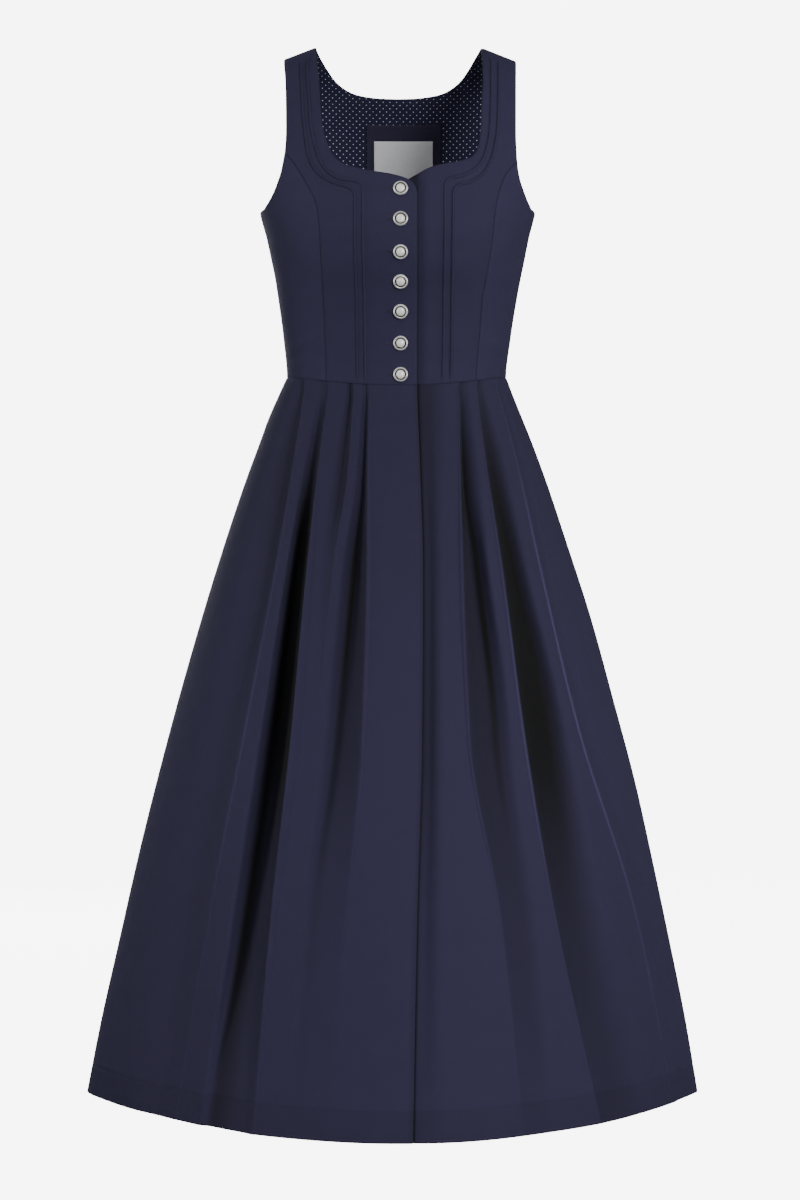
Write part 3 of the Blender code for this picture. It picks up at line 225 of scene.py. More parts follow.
# Folds of the skirt. Each is the edge of a pleat, which faces -X or +X with a hollow on that side,
# into which it falls softly or steeply: at six heights its x, how deep the hollow is, and how far
# from the edge, along the bell, the hollow is lowest and ends.
FOLD_LEVELS = (-1.234, -1.000, -0.800, -0.600, -0.500, -0.400)
SOFT, STEEP = 0.50, 0.26
USUAL_LOW = (0.0190, 0.0145, 0.0100, 0.0055, 0.0040, 0.0025)
OPEN_LOW = (0.0250, 0.0180, 0.0145, 0.0105, 0.0080, 0.0050)
USUAL_REACH = (0.0450, 0.0370, 0.0290, 0.0200, 0.0155, 0.0110)
FRONT_FOLDS = (
    (
        "right_side", -1, SOFT,
        (-0.2550, -0.2140, -0.1761, -0.1398, -0.1243, -0.1110),
        (0.0020, 0.0040, 0.0060, 0.0080, 0.0080, 0.0040),
        (0.0350, 0.0350, 0.0290, 0.0140, 0.0120, 0.0050),
        (0.0850, 0.0850, 0.0790, 0.0600, 0.0480, 0.0180),
    ),
    (
        "right_deep", -1, STEEP,
        (-0.1590, -0.1405, -0.1197, -0.1035, -0.0945, -0.0832),
        (0.0080, 0.0320, 0.0440, 0.0300, 0.0130, 0.0045),
        (0.0600, 0.0360, 0.0262, 0.0172, 0.0105, 0.0060),
        (0.0880, 0.0600, 0.0465, 0.0298, 0.0230, 0.0145),
    ),
    (
        "right_short", -1, SOFT,
        (-0.1445, -0.1175, -0.0935, -0.0750, -0.0600, -0.0533),
        (0.0000, 0.0000, 0.0000, 0.0030, 0.0060, 0.0050),
        (0.0008, 0.0010, 0.0015, 0.0070, 0.0085, 0.0046),
        (0.0020, 0.0025, 0.0035, 0.0175, 0.0215, 0.0110),
    ),
    (
        "right_inner", -1, SOFT,
        (-0.0800, -0.0597, -0.0416, -0.0367, -0.0364, -0.0350),
        (0.0000, 0.0040, 0.0120, 0.0190, 0.0120, 0.0050),
        (0.0380, 0.0365, 0.0281, 0.0155, 0.0062, 0.0046),
        (0.0560, 0.0545, 0.0475, 0.0325, 0.0170, 0.0100),
    ),
    (
        "left_inner", 1, SOFT,
        (0.1350, 0.1104, 0.0761, 0.0696, 0.0686, 0.0672),
        (0.0000, 0.0040, 0.0110, 0.0180, 0.0120, 0.0050),
        (0.0280, 0.0286, 0.0325, 0.0185, 0.0050, 0.0030),
        (0.0530, 0.0530, 0.0575, 0.0345, 0.0265, 0.0150),
    ),
    (
        "left_outer", 1, STEEP,
        (0.2230, 0.1733, 0.1387, 0.1139, 0.1002, 0.0889),
        (0.0010, 0.0120, 0.0200, 0.0170, 0.0100, 0.0040),
        (0.0330, 0.0299, 0.0360, 0.0152, 0.0095, 0.0040),
        (0.1000, 0.0900, 0.0760, 0.0420, 0.0340, 0.0140),
    ),
    (
        "left_side", 1, SOFT,
        (0.3180, 0.2686, 0.2058, 0.1591, 0.1380, 0.1135),
        (0.0030, 0.0040, 0.0060, 0.0070, 0.0060, 0.0030),
        (0.0220, 0.0220, 0.0095, 0.0057, 0.0060, 0.0050),
        (0.0600, 0.0540, 0.0400, 0.0241, 0.0240, 0.0150),
    ),
)
BACK_FOLDS = (
    (
        "right_side", -1, SOFT,
        (-0.3000, -0.2520, -0.2030, -0.1540, -0.1320, -0.1100),
        (0.0020, 0.0080, 0.0130, 0.0120, 0.0100, 0.0060),
        USUAL_LOW, USUAL_REACH,
    ),
    (
        "right_outer", -1, STEEP,
        (-0.2050, -0.1700, -0.1380, -0.1080, -0.0945, -0.0810),
        (0.0100, 0.0220, 0.0300, 0.0220, 0.0140, 0.0060),
        OPEN_LOW, USUAL_REACH,
    ),
    (
        "right_inner", -1, SOFT,
        (-0.0900, -0.0750, -0.0620, -0.0520, -0.0480, -0.0440),
        (0.0040, 0.0100, 0.0170, 0.0150, 0.0110, 0.0060),
        USUAL_LOW, USUAL_REACH,
    ),
    (
        "left_inner", 1, SOFT,
        (0.1000, 0.0840, 0.0680, 0.0560, 0.0505, 0.0450),
        (0.0050, 0.0130, 0.0200, 0.0160, 0.0110, 0.0060),
        USUAL_LOW, USUAL_REACH,
    ),
    (
        "left_outer", 1, STEEP,
        (0.1900, 0.1600, 0.1300, 0.1020, 0.0900, 0.0780),
        (0.0090, 0.0240, 0.0320, 0.0210, 0.0140, 0.0060),
        OPEN_LOW, USUAL_REACH,
    ),
    (
        "left_side", 1, SOFT,
        (0.2900, 0.2430, 0.1960, 0.1490, 0.1275, 0.1060),
        (0.0030, 0.0090, 0.0140, 0.0120, 0.0100, 0.0060),
        USUAL_LOW, USUAL_REACH,
    ),
)
FOLD_STEPS = (*np.linspace(-1, 0, 9), *np.linspace(0, 1, 25)[1:])
RIDGE_SHARE = 0.10
RIDGE_REACH = 0.45
HOLLOW_MIDDLE = 0.5
EDGE_RISE = 0.22
EDGE_RISE_LEAST = 0.0015

# Painted shade all over a hollow and along its deepest line, at the folds' heights, and the painted
# highlight on the pleat's edge
NO_SHADE = (0.0,) * len(FOLD_LEVELS)
FRONT_SHADES = {
    "right_side": (
        (0.02, 0.06, 0.14, 0.24, 0.30, 0.20),
        NO_SHADE,
        (0.00, 0.05, 0.30, 0.12, 0.00, 0.00),
    ),
    "right_deep": (
        (0.08, 0.32, 0.96, 0.97, 0.55, 0.10),
        (0.42, 1.00, 0.92, 0.90, 0.40, 0.15),
        NO_SHADE,
    ),
    "right_short": (
        (0.00, 0.00, 0.00, 0.14, 0.40, 0.35),
        (0.00, 0.00, 0.00, 0.05, 0.20, 0.55),
        NO_SHADE,
    ),
    "right_inner": (
        (0.00, 0.10, 0.44, 0.50, 0.22, 0.06),
        (0.00, 0.22, 0.72, 1.00, 0.46, 0.02),
        NO_SHADE,
    ),
    "left_inner": (
        (0.06, 0.34, 0.54, 0.56, 0.84, 0.25),
        (0.00, 0.20, 0.80, 1.00, 0.82, 0.28),
        (0.00, 0.00, 0.05, 0.10, 0.10, 0.05),
    ),
    "left_outer": (
        (0.22, 0.52, 0.98, 0.88, 0.72, 0.26),
        (0.00, 0.05, 0.10, 0.10, 0.00, 0.00),
        (0.00, 0.10, 0.50, 0.22, 0.08, 0.03),
    ),
    "left_side": (
        (0.00, 0.05, 0.08, 0.06, 0.08, 0.05),
        NO_SHADE,
        (0.00, 0.40, 1.00, 0.80, 0.30, 0.05),
    ),
}
BACK_SHADES = (
    (0.05, 0.14, 0.25, 0.25, 0.22, 0.15),
    (0.10, 0.28, 0.42, 0.40, 0.30, 0.15),
    (0.10, 0.10, 0.10, 0.10, 0.10, 0.10),
)
SHADE_BEGINS = (0.0, 0.05)
SHADE_FADES = (0.46, 0.98)
LINE_REACH = 0.26
LIGHT_REACH = 0.004

# The opening edge of the skirt's front, where the right side laps over the left
LAP_EDGE = (0.0140, 0.0186, 0.0244, 0.0260, 0.0235, 0.0200)
SKIRT_UNDERLAP = 0.016
LAP_STEP = 0.001

# Beside that edge the left side sinks into a soft hollow and rises again: how far this reaches,
# and its offsets, at the folds' heights
LAP_REACH = (0.040, 0.034, 0.0285, 0.0265, 0.030, 0.034)
LAP_HOLLOW_AT = 0.26
LAP_RIDGE_AT = 0.68
LAP_HOLLOW = (-0.0008, -0.0036, -0.0046, -0.0034, -0.0024, -0.0010)
LAP_RIDGE = (0.0, 0.0010, 0.0018, 0.0012, 0.0006, 0.0)
# Painted shade beside that edge: its strength at the folds' heights, and how it fades across the
# hollow
LAP_DARK = (0.2, 0.45, 1.2, 0.95, 0.95, 1.0)
LAP_SHADES_AT = (0.0, 0.05, 0.12, 0.45, 0.70, 1.0)
LAP_SHADES = (-0.80, -0.60, -0.32, -0.28, -0.12, 0.0)

# How finely the skirt is divided
SKIRT_ROWS = 52
GAP_COLUMNS = 12
LAP_COLUMNS = 16

# Finer form of the cloth: how edges roll into a seam, how the pleats are pressed at the waist,
# how far the hem is turned up, and how unevenly the cloth lies
PATH_SPACING = 0.004
FINE_SPACING = 0.0048
LAYER_SPACING = 0.0035
CLEAR_OF_EDGE = 0.55
CLEAR_OF_LINE = 0.4
ROLL_STEPS = (0.0005, 0.0014)
ROLL_DEPTH = 0.00055
TUCK_ACROSS = (-1.7, -1.3, -1.0, -0.65, -0.25, 0.3, 0.8, 1.15, 1.6)
TUCK_SHAPE = (0.0, -0.05, 0.0, 0.75, 1.0, 0.9, 0.45, 0.1, 0.0)
# Painted shade and highlight across a tuck: dark lines at its stitching and on its shadowed side, a
# light line on its crest
TUCK_SHADES = (0.0, -0.42, -0.30, 0.05, 0.14, 0.06, -0.10, -0.28, 0.0)
TUCK_RISE = 0.0016
DEEPEST_CREASE = 0.0009
PLACKET_FOLDS = (0.0004, 0.0016, 0.0035, 0.0065, 0.0100)
PLACKET_ENDS = (0.006, 0.004)
TUCK_STITCH_AT = -1.25
FLUTTER_RISE = 0.00035
FLUTTER_SCALE = 0.028
FLUTTER_WAVES = (
    (1.7, 0.6, 1.0, 1.0),
    (0.5, -1.9, 2.3, 1.0),
    (3.1, 2.3, 0.7, 0.6),
    (-2.6, 3.7, 1.9, 0.5),
)
FLUTTER_SPREAD = 2.4
CALM_REACH = 0.02
CREASE_CALM = 0.006
CREASE_FADE = 1.5
LAYER_SWELL = 0.0001
LAYER_SCALE = 0.012
LAYER_CALM = 0.012
PRESSED = 0.55
PRESSED_REACH = 0.030
FRONT_ROLL = 0.4
WAIST_ROLL = 0.0016
HEM_ROLL = 0.0025
HEM_DEPTH = 0.0335
HEM_LINE = 0.001
HEM_GROOVE = 0.0003
HEM_GROOVE_HALF = 0.0024
DRAPE_RISE = 0.0011
DRAPE_BEGINS = (0.02, 0.75)
DRAPE_WAVES = ((0.043, 2.2, 1.0, 1.0), (0.027, -1.5, 1.7, 0.7), (0.071, 3.1, 0.6, 0.5))

# Rows of the skirt: below the waist, beside the hem's pressed line, and above the foot
WAIST_ROWS = (0.0, 0.0006, 0.0016, 0.003, 0.005, 0.008, 0.012, 0.017, 0.023, 0.030)
LINE_ROWS = (-0.0025, -0.0012, 0, 0.0012, 0.0025, 0.006)
FOOT_ROWS = (0.022, 0.015, 0.009, 0.005, 0.0025, 0.0012, 0.0005, 0)
PLAIN_ROWS_BETWEEN = (0.038, 0.006)

# Soft creases: both ends seen from the front as (x, z), half width, and rise
FRONT_CREASES = {
    "right": (
        (((-0.080, -0.248), (-0.020, -0.240)), 0.010, -0.0011),
        (((-0.084, -0.352), (-0.045, -0.372)), 0.006, 0.0008),
        (((-0.040, -0.366), (0.012, -0.358)), 0.006, 0.0006),
    ),
    "left": (
        (((0.028, -0.240), (0.095, -0.252)), 0.010, -0.0012),
        (((0.024, -0.300), (0.052, -0.306)), 0.007, -0.0008),
        (((0.050, -0.368), (0.086, -0.350)), 0.006, 0.0008),
    ),
}
SIDE_CREASES = {
    ("side_front", "right"): (
        (((-0.112, -0.262), (-0.148, -0.236)), 0.009, -0.0014),
        (((-0.094, -0.344), (-0.133, -0.356)), 0.006, 0.0010),
        (((-0.100, -0.368), (-0.132, -0.376)), 0.005, 0.0009),
    ),
    ("side_front", "left"): (
        (((0.112, -0.266), (0.146, -0.240)), 0.009, -0.0014),
        (((0.096, -0.350), (0.126, -0.358)), 0.006, 0.0010),
        (((0.098, -0.370), (0.124, -0.374)), 0.005, 0.0008),
    ),
    ("side_back", "right"): (
        (((-0.078, -0.350), (-0.130, -0.362)), 0.006, 0.0011),
        (((-0.084, -0.322), (-0.132, -0.338)), 0.008, 0.0010),
    ),
    ("side_back", "left"): (
        (((0.080, -0.352), (0.122, -0.360)), 0.006, 0.0011),
        (((0.082, -0.328), (0.124, -0.334)), 0.008, 0.0009),
    ),
}
BACK_CREASES = (
    (((-0.064, -0.352), (0.030, -0.358)), 0.006, 0.0011),
    (((-0.020, -0.332), (0.066, -0.340)), 0.008, 0.0010),
    (((-0.060, -0.310), (0.020, -0.316)), 0.009, 0.0008),
    (((-0.100, -0.120), (-0.050, -0.190)), 0.012, 0.0010),
    (((0.100, -0.126), (0.052, -0.196)), 0.012, 0.0009),
)

# Colours, as linear light
CLOTH_COLOUR = (0.0280, 0.0243, 0.0625, 1.0)
LINING_COLOUR = (0.0042, 0.0046, 0.0290, 1.0)
DOT_COLOUR = (0.88, 0.90, 1.0, 1.0)
LABEL_COLOUR = (0.60, 0.605, 0.635, 1.0)
THREAD_COLOUR = (0.020, 0.021, 0.048, 1.0)
GREY_THREAD = (0.38, 0.39, 0.42, 1.0)
TWILL_PITCH = 0.00062
TWILL_SLANT = -27
TWILL_RISE = 0.00006
COTTON_PITCH = 0.00045
SATIN_PITCH = 0.00028
DOT_PITCH = (0.0082, 0.0088, 1.0)
DOT_RADIUS = 0.00052
DOT_BLUR = 0.00012
# Painted shade, taken off the cloth's colour: along the seams, on the patch inside the back, on the
# fronts, in the hem's groove, below the waist, beside the placket's edge and where the inner layers'
# edges roll under. The hem band is a little darker.
SEAM_DARK = 0.22
HEM_DARK = 0.12
PATCH_DARK = 0.40
FRONT_DARK = 0.10
GROOVE_DARK = 0.06
WAIST_DARK = 0.20
WAIST_DARK_REACH = 0.50
PLACKET_LINE_DARK = 0.40
PLACKET_DARK = 0.20
PLACKET_LINE = 0.0016
LAYER_EDGE_DARK = 0.25

# Layers inside the back: wall, spacing of the mesh, how far the edge rolls, seed and painted shade
LINING_LAYER = (LINING_WALL, FINE_SPACING, 0.0003, 5.5, 0.0)
PATCH_LAYER = (PATCH_WALL, LAYER_SPACING, 0.0004, 6.0, PATCH_DARK)
LABEL_LAYER = (PATCH_WALL, LAYER_SPACING, 0.0004, 7.0, 0.0)

# Buttons and buttonholes, finer than in the CAD model
RIM_SIDES = 96
MILL_COUNT = 30
PEARL_SIDES = 48
PEARL_RINGS = 12
MILLED_ROWS = (4, 8)
MILL_SLANT = 0.7
MILL_DEPTH = (0.00012, 0.00008)
MILL_LIFT = 0.00005
PEARL_WALL = 0.0008
PEARL_FOOT = (0.0004, 0.0003)
PEARL_RIM_SHADE = 2.2
HOLE_REACH = 0.0150
HOLE_NEAR = 0.002
HOLE_PITCH = 0.00055
HOLE_BAR = (0.00025, 0.0012)
HOLE_END_BAR = (0.0003, 0.0013)
HOLE_END_TURNS = (-1.3, 1.3, 9)
HOLE_LIFT = 0.0002

# Stitches: how far each thread stands off the cloth, how far the stitches are apart and how long
# they are, and the thread's width and height
TUCK_RUN, TUCK_THREAD = (0.00012, 0.0024, 0.0017), (0.00030, 0.00018)
PATCH_RUN, PATCH_THREAD = (0.0026, 0.0019), (0.00032, 0.00020)
HOLE_THREAD = (0.00042, 0.00030)
PATCH_STITCH_INSET = 0.0016
STITCH_SPACING = 0.001
STITCH_BENDS = (0.22, 0.78)
STITCH_ENDS = -0.3
STITCH_SECTION = ((1, -0.2), (0.6, 0.8), (-0.6, 0.8), (-1, -0.2))

# The studio: how bright its backdrop is, and its lights as (name, place, aim, width, height, power)
STUDIO_WHITE = 7.0
FLOOR_COLOUR = (0.60, 0.60, 0.60, 1.0)
LIGHTS = (
    ("key", (1.9, -3.6, 0.3), (0, 0, -0.6), 1.1, 2.4, 118.0),
    ("fill", (-2.2, -3.1, -0.2), (0, 0, -0.6), 1.6, 2.6, 30.0),
    ("top", (0.0, -1.9, 1.5), (0, 0, -0.5), 2.4, 0.8, 13.0),
    ("low", (0.2, -2.4, -1.25), (0, 0, -0.3), 2.0, 0.3, 4.0),
    ("side_left", (2.6, -0.4, -0.1), (0, 0, -0.4), 0.8, 1.6, 22.0),
    ("side_right", (-2.6, -0.3, -0.1), (0, 0, -0.4), 0.8, 1.6, 26.0),
    ("back", (-1.2, 3.4, 0.3), (0, 0, -0.6), 2.0, 2.4, 70.0),
)

# Steps of the tables that the shapes are read from
PROFILE_STEPS = 600
PROFILE_END = -0.44
ROUND_RADIUS = 0.130
CHART_STEP = 2e-4
RING_STEPS = 1440
CURVE_STEPS = 12
SHOULDER_STEPS = 4
LEVEL_ROUNDS = 12
WAIST_ROUNDS = 4
CLEAR_OF_END = 0.003
MITRE_LEAST = 0.35
SAME_PLACE = 1e-6


# The garment's form, as in the CAD model


def curve(places, values, where):
    """The values of a smooth curve through (places, values) that doesn't overshoot."""
    places = np.asarray(places, float)
    values = np.asarray(values, float)
    steps = np.diff(places)
    slopes = np.diff(values) / steps
    turns = np.zeros(len(places))
    turns[0], turns[-1] = slopes[0], slopes[-1]
    for i in range(1, len(places) - 1):
        if slopes[i - 1] * slopes[i] > 0:
            before = 2 * steps[i] + steps[i - 1]
            after = steps[i] + 2 * steps[i - 1]
            turns[i] = (before + after) / (before / slopes[i - 1] + after / slopes[i])
    where = np.clip(where, places[0], places[-1])
    i = np.clip(np.searchsorted(places, where, side="right") - 1, 0, len(steps) - 1)
    t = (where - places[i]) / steps[i]
    return (
        (2 * t**3 - 3 * t**2 + 1) * values[i]
        + (t**3 - 2 * t**2 + t) * steps[i] * turns[i]
        + (3 * t**2 - 2 * t**3) * values[i + 1]
        + (t**3 - t**2) * steps[i] * turns[i + 1]
    )


def column(table, names, name, where):
    rows = sorted(table)
    at = names.index(name)
    return curve([row[0] for row in rows], [row[at] for row in rows], where)


def smoothstep(low, high, value):
    t = np.clip((np.asarray(value, float) - low) / (high - low), 0, 1)
    return t * t * (3 - 2 * t)


def torso_depth(level, side):
    """Depth of the bodice in front of (side -1) or behind (side 1) the side seams."""
    name, middle, roundness = (
        ("front", BUST_LEVEL, FRONT_SHOULDER_ROUND)
        if side < 0
        else ("back", BLADE_LEVEL, BACK_SHOULDER_ROUND)
    )
    below = column(TORSO, TORSO_COLUMNS, name, np.minimum(level, middle))
    rise = np.clip((np.asarray(level, float) - middle) / -middle, 0, 1)
    return below * (1 - rise**roundness) ** (1 / roundness)


def torso_half(level, x):
    right = column(TORSO, TORSO_COLUMNS, "right", level)
    left = column(TORSO, TORSO_COLUMNS, "left", level)
    return np.where(np.asarray(x) < 0, right, left)


def shoulder_lift(x, level):
    """How far the shoulder's slope lifts a point above its level."""
    fade = smoothstep(UNDERARM_LEVEL, 0.0, level)
    beyond = np.maximum(np.abs(x) - NECK_POINT, 0)
    return fade * (SHOULDER_RISE - SHOULDER_TILT * np.asarray(x) - SHOULDER_SLOPE * beyond)


def level_of(x, z):
    level = np.asarray(z, float)
    for _ in range(LEVEL_ROUNDS):
        level = np.minimum(z - shoulder_lift(x, level), 0)
    return level


def torso_by_x(x, level, side):
    """Points of the bodice's outer surface, by distance from the middle."""
    power = column(TORSO, TORSO_COLUMNS, "power", level)
    share = np.clip(np.abs(x) / torso_half(level, x), 0, 1)
    y = side * torso_depth(level, side) * (1 - share**power) ** (1 / power)
    return np.stack([x, y, level + shoulder_lift(x, level)], -1)


def torso_by_angle(angle, level):
    """The same surface by direction: 0 is the front, a quarter turn the wearer's left side."""
    power = column(TORSO, TORSO_COLUMNS, "power", level)
    sine, cosine = np.sin(angle), np.cos(angle)
    depth = np.where(cosine > 0, torso_depth(level, -1), torso_depth(level, 1))
    across = np.abs(sine) / torso_half(level, sine)
    along = np.abs(cosine) / np.maximum(depth, 1e-6)
    reach = (across**power + along**power) ** (-1 / power)
    x = reach * sine
    return np.stack([x, -reach * cosine, level + shoulder_lift(x, level)], -1)


def waist_height(x, side):
    """The waist seam dips towards the middle of the front, and a little at the back."""
    half = torso_half(WAIST_LEVEL, x)
    dip = WAIST_DIP_FRONT if side < 0 else WAIST_DIP_BACK
    return WAIST_LEVEL - dip * np.clip(1 - (x / half) ** 2, 0, 1)


# The charts are flat maps of the surface. Up a chart is the way along the front's profile.
PROFILE_LEVELS = PROFILE_END * np.linspace(0, 1, PROFILE_STEPS) ** 2
PROFILE_POINTS = torso_by_x(np.zeros(PROFILE_STEPS), PROFILE_LEVELS, -1)
PROFILE_LENGTHS = np.linalg.norm(np.diff(PROFILE_POINTS, axis=0), axis=1)
PROFILE_UP = -np.concatenate([[0], np.cumsum(PROFILE_LENGTHS)])


def up_of(level):
    return np.interp(level, PROFILE_LEVELS[::-1], PROFILE_UP[::-1])


def level_at(up):
    return np.interp(up, PROFILE_UP[::-1], PROFILE_LEVELS[::-1])


def with_normals(place, chart, outward):
    """Points of a chart, and the directions out of the cloth there."""
    across = place(chart + (CHART_STEP, 0)) - place(chart - (CHART_STEP, 0))
    up = place(chart + (0, CHART_STEP)) - place(chart - (0, CHART_STEP))
    normals = outward * np.cross(across, up)
    normals /= np.linalg.norm(normals, axis=-1, keepdims=True)
    return place(chart), normals


def flat_chart(side):
    def place(chart):
        return torso_by_x(chart[..., 0], level_at(chart[..., 1]), side)

    return lambda chart: with_normals(place, chart, -side)


def round_chart():
    def place(chart):
        return torso_by_angle(chart[..., 0] / ROUND_RADIUS, level_at(chart[..., 1]))

    return lambda chart: with_normals(place, chart, 1)


def to_flat(points):
    points = np.asarray(points, float)
    return np.stack([points[:, 0], up_of(level_of(points[:, 0], points[:, 1]))], -1)


def to_round(points, side):
    """Front-view points of the front (side -1) or back (side 1) on the round chart."""
    points = np.asarray(points, float)
    level = level_of(points[:, 0], points[:, 1])
    place = torso_by_x(points[:, 0], level, side)
    angle = np.arctan2(place[:, 0], -place[:, 1])
    if side > 0:
        angle = np.where(angle < 0, angle + 2 * math.pi, angle)
    return np.stack([angle * ROUND_RADIUS, up_of(level)], -1)


def smooth_path(points, spacing=PATH_SPACING):
    """Points evenly along a smooth curve through the given ones."""
    points = np.asarray(points, float)
    ends = np.concatenate([[2 * points[0] - points[1]], points, [2 * points[-1] - points[-2]]])
    fine = []
    for a, b, c, d in zip(ends, ends[1:], ends[2:], ends[3:]):
        for t in np.linspace(0, 1, CURVE_STEPS, endpoint=False):
            fine.append(
                0.5
                * (
                    2 * b
                    + (c - a) * t
                    + (2 * a - 5 * b + 4 * c - d) * t**2
                    + (3 * b - a - 3 * c + d) * t**3
                )
            )
    fine = np.array(fine + [points[-1]])
    along = np.concatenate([[0], np.cumsum(np.linalg.norm(np.diff(fine, axis=0), axis=1))])
    count = max(int(round(along[-1] / spacing)), 1)
    even = np.linspace(0, along[-1], count + 1)
    return np.stack([np.interp(even, along, fine[:, 0]), np.interp(even, along, fine[:, 1])], -1)


def joined(*paths):
    """One closed outline from paths that meet end to end."""
    return np.concatenate([path[:-1] for path in paths])


def armhole(rows, sign, top, bottom):
    """The stretch of an armhole between two heights, from the upper one down."""
    rows = sorted(rows, key=lambda row: row[1])
    heights = [row[1] for row in rows]
    at = lambda z: (sign * float(curve(heights, [row[0] for row in rows], z)), z)
    inner = [(sign * x, z) for x, z in rows[::-1] if bottom + CLEAR_OF_END < z < top - CLEAR_OF_END]
    return [at(top)] + inner + ([at(bottom)] if bottom > heights[0] - SAME_PLACE else [])


def inset(outline, distance):
    """An outline moved inwards, by a distance for all of it or one for each point."""
    before = outline - np.roll(outline, 1, axis=0)
    after = np.roll(outline, -1, axis=0) - outline
    before /= np.linalg.norm(before, axis=1, keepdims=True)
    after /= np.linalg.norm(after, axis=1, keepdims=True)
    inward_before = np.stack([-before[:, 1], before[:, 0]], -1)
    inward_after = np.stack([-after[:, 1], after[:, 0]], -1)
    inward = inward_before + inward_after
    inward /= np.maximum((inward * inward_before).sum(-1, keepdims=True), MITRE_LEAST)
    x, y = outline.T
    area = (x * np.roll(y, -1) - np.roll(x, -1) * y).sum()
    return outline + math.copysign(1, area) * distance * inward


def inside(points, outline):
    x, y = points[:, 0][:, None], points[:, 1][:, None]
    ax, ay = outline.T
    bx, by = np.roll(outline, -1, axis=0).T
    crosses = (ay > y) != (by > y)
    with np.errstate(divide="ignore", invalid="ignore"):
        at = ax + (y - ay) / (by - ay) * (bx - ax)
    return (crosses & (x < at)).sum(axis=1) % 2 == 1


def distance_to(points, path, closed=False):
    ends = np.roll(path, -1, axis=0) if closed else path[1:]
    starts = path if closed else path[:-1]
    along = ends - starts
    t = ((points[:, None] - starts) * along).sum(-1) / (along**2).sum(-1)
    nearest = starts + np.clip(t, 0, 1)[..., None] * along
    return np.linalg.norm(points[:, None] - nearest, axis=-1).min(axis=1)


def beside(path, distance):
    along = np.gradient(path, axis=0)
    along /= np.linalg.norm(along, axis=1, keepdims=True)
    return path + distance * np.stack([-along[:, 1], along[:, 0]], -1)


def filled(outline, lines, spacing):
    """A flat triangle mesh inside an outline, with edges along the lines."""
    low, high = outline.min(axis=0), outline.max(axis=0)
    rows = np.arange(low[1], high[1], spacing * math.sqrt(3) / 2)
    grid = np.array(
        [
            (x, y)
            for i, y in enumerate(rows)
            for x in np.arange(low[0] + spacing * (i % 2) / 2, high[0], spacing)
        ]
    )
    keep = inside(grid, outline) & (distance_to(grid, outline, True) > CLEAR_OF_EDGE * spacing)
    for line in lines:
        keep &= distance_to(grid, line) > CLEAR_OF_LINE * spacing
    points = [outline] + list(lines) + [grid[keep]]
    edges = []
    start = len(outline)
    for line in lines:
        edges += [(start + i, start + i + 1) for i in range(len(line) - 1)]
        start += len(line)
    flat = [Vector(point * 1000) for point in np.concatenate(points)]
    ring = [list(range(len(outline)))]
    found, _, faces, _, _, _ = delaunay_2d_cdt(flat, edges, ring, 1, 1e-5)
    return np.array([tuple(point) for point in found]) / 1000, [tuple(face) for face in faces]


def waist_path(start, end, side):
    count = max(int(round(abs(end - start) / PATH_SPACING)), 1)
    xs = np.linspace(start, end, count + 1)
    return np.stack([xs, waist_height(xs, side)], -1)


def shoulder_path(start, end):
    xs = np.linspace(start, end, SHOULDER_STEPS + 1)
    return np.stack([xs, shoulder_lift(xs, 0.0)], -1)


def front_armhole(sign):
    return ARMHOLE_FRONT_RIGHT if sign < 0 else ARMHOLE_FRONT_LEFT


def princess(sign):
    """The seam over the bust, from the armhole to the waist."""
    top = PRINCESS_RIGHT_TOP if sign < 0 else PRINCESS_LEFT_TOP
    rows = PRINCESS_RIGHT if sign < 0 else PRINCESS_LEFT
    foot = PRINCESS_RIGHT_FOOT if sign < 0 else PRINCESS_LEFT_FOOT
    start = armhole(front_armhole(sign), sign, top, top)[0]
    end = (foot, float(waist_height(foot, -1)))
    return smooth_path([start, *rows, end])


def back_seam(sign):
    start = armhole(ARMHOLE_BACK, sign, BACK_SEAM_TOP, BACK_SEAM_TOP)[0]
    foot = sign * BACK_SEAM_FOOT
    end = (foot, float(waist_height(foot, 1)))
    return smooth_path([start, *((sign * x, z) for x, z in BACK_SEAM), end])


# Looks


